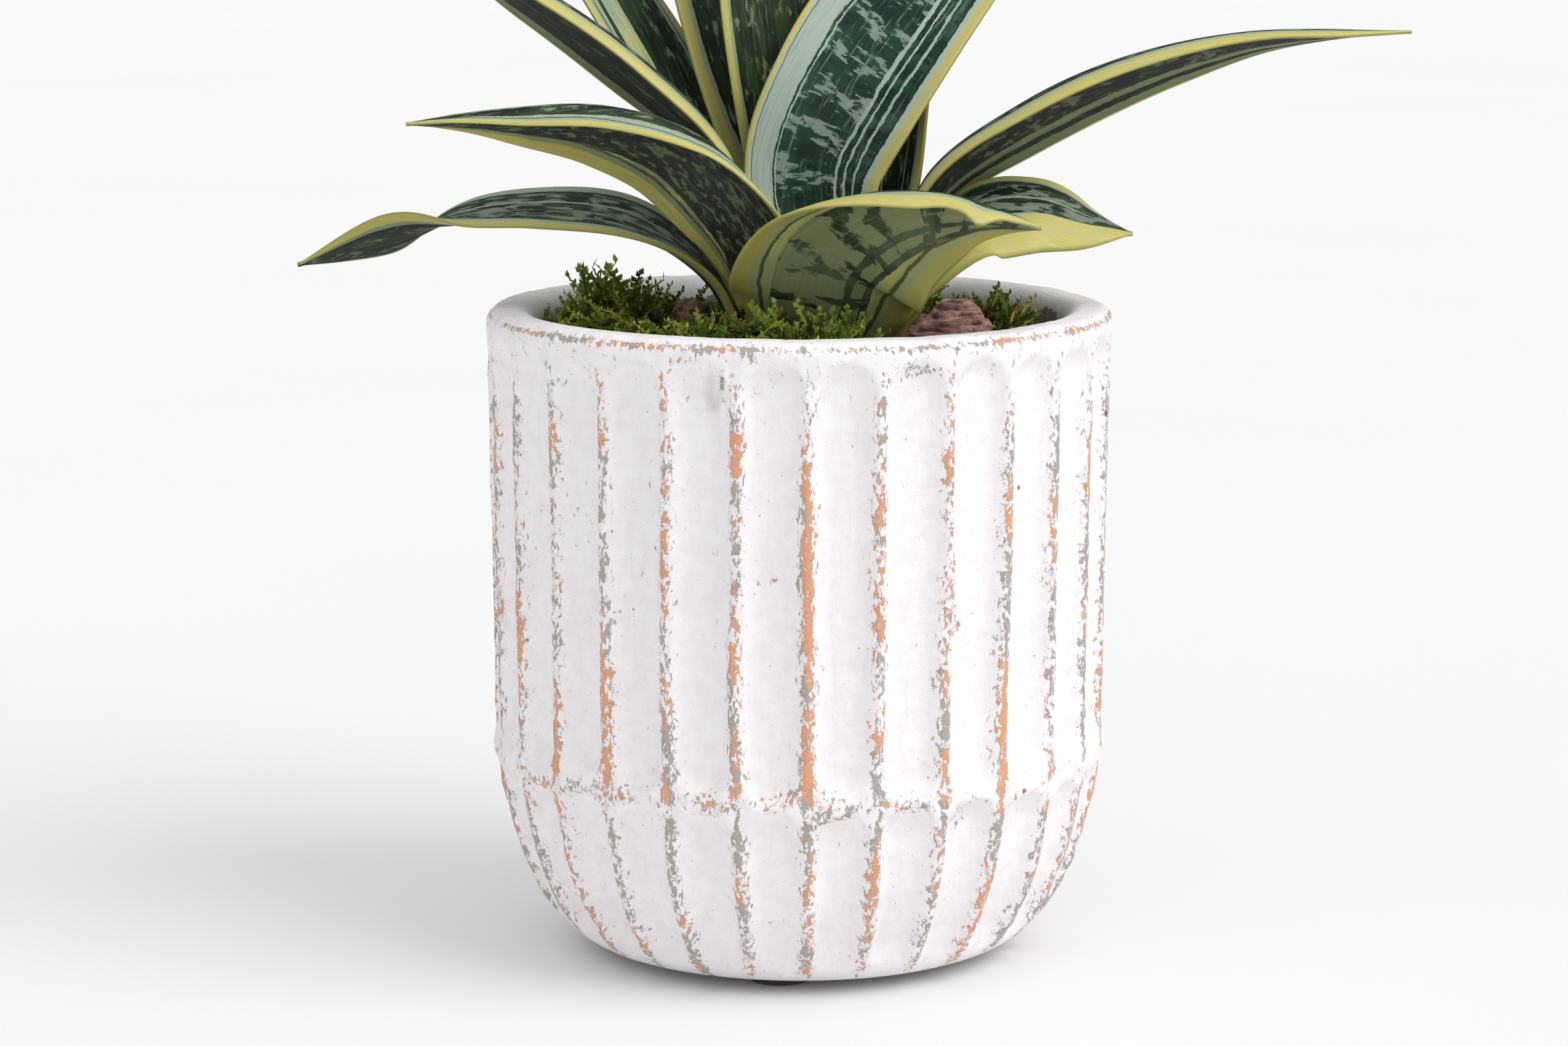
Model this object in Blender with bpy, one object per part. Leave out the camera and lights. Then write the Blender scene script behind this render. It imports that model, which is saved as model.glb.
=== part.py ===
"""Potted snake plant: a rosette of stiff, margined leaves in a fluted, limewashed pot on felt pads.

The origin is on the pot's axis, on the surface that the pot stands on; +Z is up and -Y is the front.
Sizes are written in millimetres and turned into metres when a mesh is made.
"""
import math

import bmesh
import bpy
import numpy as np

MM = 0.001
GAP = 0.3                # clearance left between touching pieces

# Felt pads
PAD_RADIUS = 6.5
PAD_HEIGHT = 2.0
PAD_EDGE = 0.5           # rounding of a pad's lower edge
PAD_SEGMENTS = 24
PAD_ANGLES = {"felt_pad_front": 263.0, "felt_pad_right": 23.0, "felt_pad_left": 143.0}

# Pot, outside
POT_HEIGHT = 134.1       # from the underside to the top of the rim
POT_RADIUS = 65.4        # at the rim
POT_TAPER = 1.0          # how much narrower the wall is at the shoulder
SHOULDER_HEIGHT = 46.0   # where the straight wall turns into the rounded foot
FOOT_INSET = 22.0        # from the shoulder's radius in to the flat underside
FOOT_FULLNESS = 1.84     # 2 is an ellipse, less is flatter
PAD_MARGIN = 2.9         # from a pad's outer edge to the edge of the flat underside
PAD_CIRCLE = POT_RADIUS - POT_TAPER - FOOT_INSET - PAD_MARGIN - PAD_RADIUS   # that the pads' middles stand on
RIM_ROUND = 3.0          # the rim's outer edge
LIP_ROUND = 4.0          # the rim's inner edge

# Pot, inside
WALL = 9.9               # at the rim
WALL_GROWTH = 1.5        # the mould's draft thickens the wall towards the floor
FLOOR = 10.0
INNER_CORNER = 24.0      # rounding between the inner wall and the floor

# Flutes
FLUTES = 28
FLUTE_DEPTH = 2.0
FLUTE_END = 6.0          # length over which a flute runs out at its ends
RIM_BAND = 12.5          # plain band between the rim's top and the flutes
SEAM_BAND = 5.0          # plain band between the upper and the lower flutes
SEAM_HEIGHT = 41.0       # middle of that band, above the underside
FOOT_BAND = 3.0          # plain band round the foot, below the lower flutes
FLUTE_TURN = 1.3         # degrees that the first ridge stands round from +X
COLUMNS_PER_FLUTE = 4

# Filling
SOIL_DROP = 11.4         # from the rim's top down to the soil
RHIZOME_RADIUS = 19.0
RHIZOME_DEPTH = 12.0
SOIL_SEGMENTS = 48
CROWN_X = 5.0            # the plant stands a little off the pot's axis
CROWN_Y = -3.0

# Moss and bark
MOSS_INNER = 25.0        # the moss keeps clear of the leaf bases
MOSS_BEHIND_CHIP = 37.0  # the left-hand patch starts behind a bark chip
MOSS_HEIGHT = 8.0
MOSS_EDGE = 1.0          # thickness of a patch at its edge
MOSS_WALL_GAP = 1.2      # from the moss to the pot's inner wall
MOSS_GUTTER = 7.5        # the right-hand patch stops this far short of the wall

# Leaves
LEAF_THICKNESS = 1.5
MARGIN_THICKNESS = 0.7
LEAF_SEGMENTS = 14
SECTION_SHARES = (-1.0, -0.6, 0.0, 0.6, 1.0)   # places across the blade, from one margin to the other
FULL_THICKNESS_HALF_WIDTH = 4.0                  # a narrower stretch of blade is thinner
NEARLY_FLAT = 0.001
BASE_WIDTH = 0.45        # of the blade's greatest width, where the leaf doesn't say
TIP_HALF_WIDTH = 0.5
RING_RADII = (4.8, 8.7, 12.6, 16.6)   # leaf bases stand in four rings, innermost first

POT_BASE_Z = PAD_HEIGHT + GAP
RIM_Z = POT_BASE_Z + POT_HEIGHT
SOIL_Z = RIM_Z - SOIL_DROP
FLOOR_Z = POT_BASE_Z + FLOOR

COLOURS = {
    "limewash": ((0.86, 0.84, 0.83), 0.85),
    "felt": ((0.10, 0.08, 0.08), 0.95),
    "soil": ((0.07, 0.045, 0.03), 0.95),
    "rhizome": ((0.55, 0.48, 0.28), 0.7),
    "leaf": ((0.06, 0.16, 0.07), 0.4),
    "moss": ((0.12, 0.20, 0.03), 0.9),
    "bark": ((0.33, 0.20, 0.17), 0.85),
}


def material(name):
    """The named material, made once."""
    found = bpy.data.materials.get(name)
    if found:
        return found
    colour, roughness = COLOURS[name]
    made = bpy.data.materials.new(name)
    made.use_nodes = True
    shader = made.node_tree.nodes["Principled BSDF"]
    shader.inputs["Base Color"].default_value = (*colour, 1.0)
    shader.inputs["Roughness"].default_value = roughness
    shader.inputs["Metallic"].default_value = 0.0
    return made


def add_object(name, shell, material_name, parent=None, location=(0, 0, 0), turn=0.0, smooth_angle=40.0):
    """Makes a named object from a bmesh in millimetres, placed by a location and a turn about Z."""
    bmesh.ops.recalc_face_normals(shell, faces=shell.faces)
    bmesh.ops.scale(shell, vec=(MM, MM, MM), verts=shell.verts)
    mesh = bpy.data.meshes.new(name)
    shell.to_mesh(mesh)
    shell.free()
    mesh.shade_smooth()
    mesh.set_sharp_from_angle(angle=math.radians(smooth_angle))
    mesh.materials.append(material(material_name))
    made = bpy.data.objects.new(name, mesh)
    made.parent = parent
    made.location = [MM * value for value in location]
    made.rotation_euler.z = math.radians(turn)
    bpy.context.scene.collection.objects.link(made)
    return made


def loft(rings):
    """A closed bmesh: quads from each ring of points to the next, and a flat face over each end."""
    shell = bmesh.new()
    rows = [[shell.verts.new(point) for point in ring] for ring in rings]
    count = len(rows[0])
    for low, high in zip(rows, rows[1:]):
        for i in range(count):
            j = (i + 1) % count
            shell.faces.new((low[i], low[j], high[j], high[i]))
    shell.faces.new(rows[0])
    shell.faces.new(rows[-1])
    return shell


def circle(radius, z, segments, x=0.0, y=0.0):
    """Points evenly spaced round a level circle."""
    angles = [2 * math.pi * i / segments for i in range(segments)]
    return [(x + radius * math.cos(a), y + radius * math.sin(a), z) for a in angles]


# ---------------------------------------------------------------- pot

def outer_profile():
    """(radius, height) down the pot's outer side, from the rim's crest to the flat underside."""
    points = []
    for turn in np.linspace(90, 0, 4):
        t = math.radians(turn)
        radius = POT_RADIUS - RIM_ROUND * (1 - math.cos(t))
        points.append((radius, RIM_Z - RIM_ROUND * (1 - math.sin(t))))
    flutes_top = POT_HEIGHT - RIM_BAND
    seam_top = SEAM_HEIGHT + SEAM_BAND / 2
    seam_bottom = SEAM_HEIGHT - SEAM_BAND / 2
    heights = [
        flutes_top,
        flutes_top - FLUTE_END / 2,
        flutes_top - FLUTE_END,
        (flutes_top + seam_top) / 2,
        seam_top + FLUTE_END,
        seam_top + FLUTE_END / 2,
        seam_top,
        seam_bottom,
        seam_bottom - FLUTE_END / 2,
        seam_bottom - FLUTE_END,
    ]
    heights += [seam_bottom * share for share in (0.62, 0.42, 0.26, 0.16)]
    heights += [FOOT_BAND, FOOT_BAND * 0.4]
    points += [(wall_radius(POT_BASE_Z + height), POT_BASE_Z + height) for height in heights]
    points.append((POT_RADIUS - POT_TAPER - FOOT_INSET, POT_BASE_Z))
    return points


def wall_radius(z):
    """Radius of the outer side at a height, without the flutes: a tapered wall on a superelliptic foot."""
    low_radius = POT_RADIUS - POT_TAPER
    height = z - POT_BASE_Z
    if height >= SHOULDER_HEIGHT:
        share = (height - SHOULDER_HEIGHT) / (POT_HEIGHT - SHOULDER_HEIGHT)
        return low_radius + POT_TAPER * share
    drop = (SHOULDER_HEIGHT - height) / SHOULDER_HEIGHT
    return low_radius - FOOT_INSET * (1 - (1 - drop ** FOOT_FULLNESS) ** (1 / FOOT_FULLNESS))


def flute_strength(z):
    """0 on the plain bands and 1 along the flutes, easing in over each flute's rounded end."""
    height = z - POT_BASE_Z
    spans = (
        (SEAM_HEIGHT + SEAM_BAND / 2, POT_HEIGHT - RIM_BAND),
        (FOOT_BAND, SEAM_HEIGHT - SEAM_BAND / 2),
    )
    for low, high in spans:
        if low < height < high:
            inside = min(height - low, high - height)
            return math.sin(min(inside / FLUTE_END, 1.0) * math.pi / 2)
    return 0.0


def inner_profile():
    """(radius, height) up the pot's inner side, from the floor to the rim's crest."""
    top_radius = POT_RADIUS - WALL
    points = []
    for turn in np.linspace(90, 0, 4):
        t = math.radians(turn)
        z = FLOOR_Z + INNER_CORNER * (1 - math.sin(t))
        points.append((inner_radius(FLOOR_Z + INNER_CORNER) - INNER_CORNER * (1 - math.cos(t)), z))
    lip_side = RIM_Z - LIP_ROUND
    for z in (SOIL_Z, lip_side):
        points.append((inner_radius(z), z))
    for turn in (45, 90):
        t = math.radians(turn)
        points.append((top_radius + LIP_ROUND * (1 - math.cos(t)), lip_side + LIP_ROUND * math.sin(t)))
    return points


def inner_radius(z):
    """Radius of the straight part of the inner wall at a height."""
    share = (RIM_Z - z) / (RIM_Z - FLOOR_Z)
    return POT_RADIUS - WALL - WALL_GROWTH * share


def make_pot():
    """One casting: a fluted outer side, a rounded rim and a plain inner side."""
    columns = FLUTES * COLUMNS_PER_FLUTE
    rings = []
    for radius, z in outer_profile()[::-1]:
        strength = FLUTE_DEPTH * flute_strength(z)
        ring = []
        for i in range(columns):
            across = 2 * (i % COLUMNS_PER_FLUTE) / COLUMNS_PER_FLUTE - 1   # -1 on a ridge, 0 mid-flute
            angle = 2 * math.pi * i / columns
            r = radius - strength * (1 - across ** 2)
            ring.append((r * math.cos(angle), r * math.sin(angle), z))
        rings.append(ring)
    rings += [circle(radius, z, columns) for radius, z in inner_profile()[::-1]]
    add_object("pot", loft(rings), "limewash", turn=FLUTE_TURN)


def make_felt_pads():
    """Round self-adhesive pads under the pot, one of them at the front."""
    for name, degrees in PAD_ANGLES.items():
        rings = [
            circle(PAD_RADIUS - PAD_EDGE, 0.0, PAD_SEGMENTS),
            circle(PAD_RADIUS, PAD_EDGE, PAD_SEGMENTS),
            circle(PAD_RADIUS, PAD_HEIGHT, PAD_SEGMENTS),
        ]
        a = math.radians(degrees)
        place = (PAD_CIRCLE * math.cos(a), PAD_CIRCLE * math.sin(a), 0.0)
        add_object(name, loft(rings), "felt", location=place)


# ---------------------------------------------------------------- filling

def make_soil():
    """The growing medium fills the pot, with a socket in its surface for the rhizome."""
    corner_z = FLOOR_Z + INNER_CORNER
    rings = []
    for turn in np.linspace(90, 0, 4):
        t = math.radians(turn)
        radius = inner_radius(corner_z) - INNER_CORNER * (1 - math.cos(t)) - GAP
        rings.append(circle(radius, corner_z - INNER_CORNER * math.sin(t) + GAP, SOIL_SEGMENTS))
    rings.append(circle(inner_radius(SOIL_Z) - GAP, SOIL_Z, SOIL_SEGMENTS))
    socket = RHIZOME_RADIUS + GAP
    for z in (SOIL_Z, SOIL_Z - RHIZOME_DEPTH):
        rings.append(circle(socket, z, SOIL_SEGMENTS, CROWN_X, CROWN_Y))
    add_object("soil", loft(rings), "soil")


def make_rhizome(crown):
    """The short underground stem that carries the leaves; its top is level with the soil."""
    rings = [
        circle(RHIZOME_RADIUS - 5.0, GAP - RHIZOME_DEPTH, SOIL_SEGMENTS),
        circle(RHIZOME_RADIUS - 1.5, -RHIZOME_DEPTH * 0.6, SOIL_SEGMENTS),
        circle(RHIZOME_RADIUS, -RHIZOME_DEPTH * 0.25, SOIL_SEGMENTS),
        circle(RHIZOME_RADIUS, 0.0, SOIL_SEGMENTS),
    ]
    add_object("rhizome", loft(rings), "rhizome", crown)


def wall_distance(angle, z):
    """How far the pot's inner wall is from the crown's axis, in one direction."""
    dx, dy = math.cos(angle), math.sin(angle)
    along = CROWN_X * dx + CROWN_Y * dy
    radius = inner_radius(z)
    return -along + math.sqrt(along ** 2 - CROWN_X ** 2 - CROWN_Y ** 2 + radius ** 2)


def make_moss(crown, name, start, end, inner, wall_gap):
    """A patch of moss: a sector round the crown with a domed, lumpy top and a flat underside."""
    steps = max(5, round((end - start) / 9))
    shares = np.linspace(0.0, 1.0, 6)
    pad = bmesh.new()
    tops, bottoms = [], []
    for i in range(steps + 1):
        angle = math.radians(start + (end - start) * i / steps)
        outer = wall_distance(angle, SOIL_Z) - wall_gap
        across = math.sin(math.pi * (i + 0.6) / (steps + 1.2))
        top_row, bottom_row = [], []
        for j, share in enumerate(shares):
            r = inner + (outer - inner) * share
            lump = 0.8 + 0.13 * math.sin(3.1 * i + 1.7 * j) + 0.07 * math.sin(1.3 * i * j)
            dome = math.sqrt(max(math.sin(math.pi * (share * 0.86 + 0.07)), 0.0) * across)
            x, y = r * math.cos(angle), r * math.sin(angle)
            top = MOSS_EDGE + (MOSS_HEIGHT - MOSS_EDGE) * dome * lump
            top_row.append(pad.verts.new((x, y, GAP + top)))
            bottom_row.append(pad.verts.new((x, y, GAP)))
        tops.append(top_row)
        bottoms.append(bottom_row)
    last = len(shares) - 1
    for i in range(steps):
        for j in range(last):
            pad.faces.new((tops[i][j], tops[i][j + 1], tops[i + 1][j + 1], tops[i + 1][j]))
            pad.faces.new((bottoms[i][j], bottoms[i + 1][j], bottoms[i + 1][j + 1], bottoms[i][j + 1]))
        for j in (0, last):
            pad.faces.new((tops[i][j], tops[i + 1][j], bottoms[i + 1][j], bottoms[i][j]))
    for i in (0, steps):
        for j in range(last):
            pad.faces.new((tops[i][j], bottoms[i][j], bottoms[i][j + 1], tops[i][j + 1]))
    add_object(name, pad, "moss", crown)


# name: first and last direction from the crown, the distance where the patch starts, gap to the wall
MOSS_PATCHES = {
    "moss_front": (206.0, 290.0, MOSS_INNER, MOSS_WALL_GAP),
    "moss_right": (334.0, 374.0, MOSS_INNER, MOSS_GUTTER),
    "moss_back": (44.0, 134.0, MOSS_INNER, MOSS_WALL_GAP),
    "moss_left": (138.0, 202.0, MOSS_BEHIND_CHIP, MOSS_WALL_GAP),
}

# name: direction from the crown, distance from it, length, width, thickness and the chip's own turn.
# A negative distance is counted inwards from the pot's wall.
BARK_CHIPS = {
    "bark_chip_front": (312.5, -12.2, 18.0, 10.0, 13.5, 8.0),
    "bark_chip_left": (160.0, 29.5, 17.0, 9.5, 9.5, 70.0),
    "bark_chip_right": (25.0, -15.9, 14.0, 8.0, 6.5, 20.0),
}


def make_bark_chip(crown, name, direction, distance, length, width, thickness, turn):
    """A flake of bark: a gridded block with pinched, uneven ends and an arched back, on the soil."""
    chip = bmesh.new()
    bmesh.ops.create_cube(chip, size=1.0)
    bmesh.ops.subdivide_edges(chip, edges=chip.edges[:], cuts=2, use_grid_fill=True)
    for v in chip.verts:
        x, y, z = v.co
        skew = 0.10 * math.sin(7.0 * x + 4.0 * y)
        pinch = 1.0 - 0.9 * x * x + skew
        arch = (1.0 - 1.3 * y * y) * (1.0 - 0.8 * x * x) + 0.6 * skew
        v.co = (length * (x + 0.10 * y), width * y * pinch, thickness * (z + 0.5) * arch)
    a = math.radians(direction)
    if distance < 0:
        distance += wall_distance(a, SOIL_Z)
    place = (distance * math.cos(a), distance * math.sin(a), GAP)
    add_object(name, chip, "bark", crown, place, turn, 25.0)


# ---------------------------------------------------------------- leaves

# A leaf is a blade carried along its midrib. Each station is
# (x, y, height, roll, right cup, left cup): the midrib's place from the crown's axis at the soil, in
# millimetres, the blade's turn about the midrib, and how far each half of its section bends, in degrees.
# Left and right are those of someone who looks out along the leaf from the crown.
# A positive roll lifts the left margin; a positive cup lifts its own margin, a negative one drops it.
# The base's station comes from the leaf's ring and its direction there.
LEAVES = {
    "leaf_low_left": dict(
        ring=3, base=188.0, heading=180.0, half_width=11.5, widest=0.36, stations=(
            (-23.5, -2.5, 17.0, 0.0, 20.0, 20.0),
            (-40.0, 0.0, 28.5, -14.0, 10.0, 10.0),
            (-60.0, 1.0, 31.0, -18.0, 5.0, 5.0),
            (-77.0, 0.5, 29.5, -6.0, 10.0, 10.0),
            (-92.0, -0.5, 25.5, 60.0, 20.0, 20.0),
            (-109.8, 3.0, 19.7, 60.0, 0.0, 0.0),
        )),
    "leaf_front": dict(
        ring=3, base=262.0, heading=340.0, half_width=20.5, widest=0.40, base_width=0.66, stations=(
            (-1.0, -23.0, 12.5, -74.0, 5.0, 25.0),
            (2.0, -29.0, 24.0, -72.0, -55.0, 5.0),
            (12.5, -34.0, 32.5, -64.0, -95.0, -10.0),
            (27.5, -38.0, 35.0, -52.0, -95.0, -10.0),
            (43.0, -40.0, 31.5, -30.0, -30.0, 0.0),
        )),
    "leaf_low_right": dict(
        ring=3, base=335.0, heading=350.0, half_width=12.0, widest=0.5, stations=(
            (21.0, -7.0, 15.0, 15.0, 10.0, 10.0),
            (31.0, -5.0, 29.0, 42.0, -8.0, -8.0),
            (43.0, -4.5, 31.5, 46.0, -12.0, -12.0),
            (55.0, -3.0, 28.5, 40.0, -8.0, -8.0),
            (64.2, -0.5, 26.5, 20.0, 0.0, 0.0),
        )),
    "leaf_back_right": dict(
        ring=3, base=35.0, heading=40.0, half_width=11.0, widest=0.45, stations=(
            (18.0, 13.5, 12.0, 0.0, 20.0, 20.0),
            (29.0, 24.0, 24.0, 0.0, 10.0, 10.0),
            (43.0, 38.0, 29.0, 0.0, 8.0, 8.0),
            (58.0, 54.0, 22.0, 0.0, 0.0, 0.0),
        )),
    "leaf_back_low": dict(
        ring=3, base=125.0, heading=115.0, half_width=12.0, widest=0.45, stations=(
            (-14.0, 20.0, 15.0, 10.0, 22.0, 22.0),
            (-20.0, 33.0, 30.0, 0.0, 18.0, 18.0),
            (-27.0, 49.0, 38.0, 0.0, 12.0, 12.0),
            (-33.0, 67.0, 35.0, 0.0, 0.0, 0.0),
        )),
    "leaf_back_upright": dict(
        ring=3, base=80.0, heading=78.0, half_width=12.0, widest=0.45, stations=(
            (5.2, 23.8, 26.0, 0.0, 26.0, 26.0),
            (6.0, 33.0, 58.0, 0.0, 22.0, 22.0),
            (7.0, 46.0, 90.0, 0.0, 16.0, 16.0),
            (10.0, 66.0, 112.0, 0.0, 0.0, 0.0),
        )),
    "leaf_mid_left": dict(
        ring=2, base=224.0, heading=190.0, half_width=15.0, widest=0.42, stations=(
            (-11.0, -14.5, 14.0, 40.0, 15.0, 15.0),
            (-16.0, -18.5, 31.0, 44.0, -15.0, -45.0),
            (-28.0, -18.5, 46.0, 46.0, -35.0, -95.0),
            (-45.0, -20.5, 52.5, 42.0, -45.0, -105.0),
            (-64.0, -24.0, 53.0, 34.0, -40.0, -95.0),
            (-84.0, -28.0, 51.3, 14.0, -20.0, -20.0),
        )),
    "leaf_long_right": dict(
        ring=2, base=5.0, heading=0.0, half_width=11.5, widest=0.42, stations=(
            (17.0, 2.5, 18.0, -10.0, 10.0, 10.0),
            (22.5, 2.0, 37.0, -30.0, -50.0, -25.0),
            (41.0, 0.0, 51.5, -36.0, -80.0, -45.0),
            (61.0, -1.0, 61.0, -36.0, -85.0, -50.0),
            (86.0, -1.0, 67.0, -26.0, -65.0, -40.0),
            (121.2, -1.0, 68.3, 0.0, 0.0, 0.0),
        )),
    "leaf_inner_back": dict(
        ring=2, base=55.0, heading=58.0, half_width=9.0, widest=0.45, stations=(
            (10.5, 15.5, 32.0, 0.0, 30.0, 30.0),
            (15.0, 25.0, 72.0, 0.0, 24.0, 24.0),
            (22.0, 40.0, 122.0, 0.0, 0.0, 0.0),
        )),
    "leaf_back_left": dict(
        ring=2, base=168.0, heading=155.0, half_width=13.0, widest=0.45, stations=(
            (-22.0, 7.0, 24.0, -6.0, 26.0, 26.0),
            (-31.0, 15.8, 50.0, -10.0, 24.0, 24.0),
            (-42.0, 19.0, 71.0, -12.0, 20.0, 20.0),
            (-62.0, 30.0, 98.0, -10.0, 12.0, 12.0),
            (-90.0, 44.0, 112.0, 0.0, 0.0, 0.0),
        )),
    "leaf_inner_left": dict(
        ring=2, base=114.0, heading=120.0, half_width=12.0, widest=0.5, stations=(
            (-6.5, 19.5, 26.0, 0.0, 28.0, 28.0),
            (-16.5, 20.5, 50.0, 8.0, 26.0, 26.0),
            (-25.5, 23.0, 78.0, 12.0, 22.0, 22.0),
            (-35.0, 32.0, 132.0, 0.0, 0.0, 0.0),
        )),
    "leaf_high_left": dict(
        ring=1, base=195.0, heading=178.0, half_width=10.5, widest=0.4, stations=(
            (-14.0, -4.5, 24.0, 14.0, 10.0, 10.0),
            (-22.0, -4.5, 45.0, 30.0, -20.0, -50.0),
            (-38.0, -4.5, 61.5, 34.0, -35.0, -75.0),
            (-60.0, -5.0, 77.0, 30.0, -35.0, -70.0),
            (-93.0, -4.0, 93.0, 12.0, -20.0, -40.0),
            (-131.2, -2.0, 100.0, 0.0, 0.0, 0.0),
        )),
    "leaf_centre": dict(
        ring=1, base=97.0, heading=100.0, half_width=13.0, widest=0.5, stations=(
            (-4.0, 10.5, 24.0, 0.0, 28.0, 28.0),
            (-7.0, 12.0, 50.0, 0.0, 22.0, 22.0),
            (-10.0, 13.0, 80.0, 0.0, 20.0, 20.0),
            (-14.0, 18.0, 150.0, 0.0, 0.0, 0.0),
        )),
    "leaf_inner_right": dict(
        ring=1, base=22.0, heading=45.0, half_width=9.0, widest=0.45, stations=(
            (14.0, 7.8, 30.0, 0.0, 30.0, 30.0),
            (20.0, 14.0, 70.0, 0.0, 26.0, 26.0),
            (36.0, 25.0, 116.0, 0.0, 0.0, 0.0),
        )),
    "leaf_broad": dict(
        ring=0, base=60.0, heading=85.0, half_width=17.0, widest=0.4, stations=(
            (0.0, 2.0, 20.0, 0.0, 45.0, 45.0),
            (-2.0, 2.5, 40.0, 0.0, 32.0, 32.0),
            (5.0, 3.0, 56.0, 0.0, 28.0, 28.0),
            (14.5, 5.0, 70.0, 0.0, 26.0, 26.0),
            (33.0, 12.0, 92.0, 0.0, 22.0, 22.0),
            (58.0, 20.0, 112.0, 0.0, 15.0, 15.0),
            (86.0, 26.0, 122.0, 0.0, 0.0, 0.0),
        )),
    "leaf_spear": dict(
        ring=0, base=270.0, heading=270.0, half_width=5.0, widest=0.4, stations=(
            (0.0, -6.5, 11.0, 0.0, 40.0, 40.0),
            (0.5, -8.5, 21.0, 0.0, 30.0, 30.0),
            (1.0, -10.5, 31.0, 0.0, 0.0, 0.0),
        )),
}


def leaf_stations(leaf):
    """The leaf's stations with its base in front, where the blade wraps the crown in its ring."""
    radius = RING_RADII[leaf["ring"]]
    a = math.radians(leaf["base"])
    half_width = leaf["half_width"] * leaf.get("base_width", BASE_WIDTH)
    wrap = math.degrees(half_width / radius)
    base = (radius * math.cos(a), radius * math.sin(a), GAP, leaf["base"] - leaf["heading"], wrap, wrap)
    return np.array([base, *leaf["stations"]])


def blade_width(share, widest, base_width):
    """The blade's width at a share of its length, as a share of its greatest width."""
    if share < widest:
        rise = math.sin(share / widest * math.pi / 2)
        return base_width + (1.0 - base_width) * rise
    fall = (share - widest) / (1.0 - widest)
    return (1.0 - fall ** 1.7) ** 0.9


def smooth_through(points, count):
    """Rows on the smooth curve through the given rows, evenly spaced along its first three columns."""
    ends = np.vstack([2 * points[0] - points[1], points, 2 * points[-1] - points[-2]])
    steps = np.sqrt(np.linalg.norm(np.diff(ends[:, :3], axis=0), axis=1))
    knots = np.concatenate([[0.0], np.cumsum(steps)])
    fine = []
    for k in range(1, len(points)):
        t0, t1, t2, t3 = knots[k - 1:k + 3]
        p0, p1, p2, p3 = ends[k - 1:k + 3]
        for t in np.linspace(t1, t2, 24, endpoint=k == len(points) - 1):
            a1 = ((t1 - t) * p0 + (t - t0) * p1) / (t1 - t0)
            a2 = ((t2 - t) * p1 + (t - t1) * p2) / (t2 - t1)
            a3 = ((t3 - t) * p2 + (t - t2) * p3) / (t3 - t2)
            b1 = ((t2 - t) * a1 + (t - t0) * a2) / (t2 - t0)
            b2 = ((t3 - t) * a2 + (t - t1) * a3) / (t3 - t1)
            fine.append(((t2 - t) * b1 + (t - t1) * b2) / (t2 - t1))
    fine = np.array(fine)
    along = np.concatenate([[0.0], np.cumsum(np.linalg.norm(np.diff(fine[:, :3], axis=0), axis=1))])
    even = np.linspace(0.0, along[-1], count)
    return np.stack([np.interp(even, along, column) for column in fine.T], axis=1)


def blade_frames(leaf, count):
    """Midrib points, the blade's directions across and up there, its half width and its two cups."""
    rows = smooth_through(leaf_stations(leaf), count)
    midrib = rows[:, :3]
    roll, cups = np.radians(rows[:, 3]), np.radians(rows[:, 4:6])
    tangent = np.gradient(midrib, axis=0)
    tangent /= np.linalg.norm(tangent, axis=1)[:, None]
    heading = math.radians(leaf["heading"])
    side = np.array([-math.sin(heading), math.cos(heading), 0.0])
    side = side - tangent * (tangent @ side)[:, None]
    side /= np.linalg.norm(side, axis=1)[:, None]
    upper = np.cross(tangent, side)
    across = side * np.cos(roll)[:, None] + upper * np.sin(roll)[:, None]
    up = np.cross(tangent, across)
    base_width = leaf.get("base_width", BASE_WIDTH)
    widths = [blade_width(share, leaf["widest"], base_width) for share in np.linspace(0, 1, count)]
    half = np.maximum(leaf["half_width"] * np.array(widths), TIP_HALF_WIDTH)
    return midrib, across, up, half, cups


def make_leaf(crown, name, leaf):
    """A closed blade: each half of its section is an arc, thick at the midrib and thin at the margin."""
    rings = []
    for point, across, up, half, cups in zip(*blade_frames(leaf, LEAF_SEGMENTS + 1)):
        body = (LEAF_THICKNESS - MARGIN_THICKNESS) * min(half / FULL_THICKNESS_HALF_WIDTH, 1.0)
        over, under = [], []
        for share in SECTION_SHARES:
            cup = cups[0] if share < 0 else cups[1]
            if abs(cup) < NEARLY_FLAT:
                cup = NEARLY_FLAT
            side = math.copysign(1.0, share)
            turn = cup * abs(share)
            middle = point + (side * across * math.sin(turn) + up * (1 - math.cos(turn))) * half / cup
            outward = up * math.cos(turn) - side * across * math.sin(turn)
            thickness = MARGIN_THICKNESS + body * (1 - share ** 2)
            over.append(middle + outward * thickness / 2)
            under.append(middle - outward * thickness / 2)
        rings.append(over + under[::-1])
    for point in rings[0]:
        point[2] = GAP               # the base is cut level, just above the rhizome
    add_object(name, loft(rings), "leaf", crown, smooth_angle=60.0)


def main():
    for existing in list(bpy.data.objects):
        bpy.data.objects.remove(existing)
    crown = bpy.data.objects.new("crown", None)
    crown.location = (MM * CROWN_X, MM * CROWN_Y, MM * SOIL_Z)
    bpy.context.scene.collection.objects.link(crown)
    make_pot()
    make_felt_pads()
    make_soil()
    make_rhizome(crown)
    for name, sizes in MOSS_PATCHES.items():
        make_moss(crown, name, *sizes)
    for name, sizes in BARK_CHIPS.items():
        make_bark_chip(crown, name, *sizes)
    for name, leaf in LEAVES.items():
        make_leaf(crown, name, leaf)
    bpy.context.view_layer.update()


main()
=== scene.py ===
"""The looks of a potted snake plant: margined leaves in a fluted, worn limewashed pot, with moss and bark.

Sizes are in millimetres until a mesh is made, and each finished piece has its place in its mesh.
"""
import math

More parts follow.
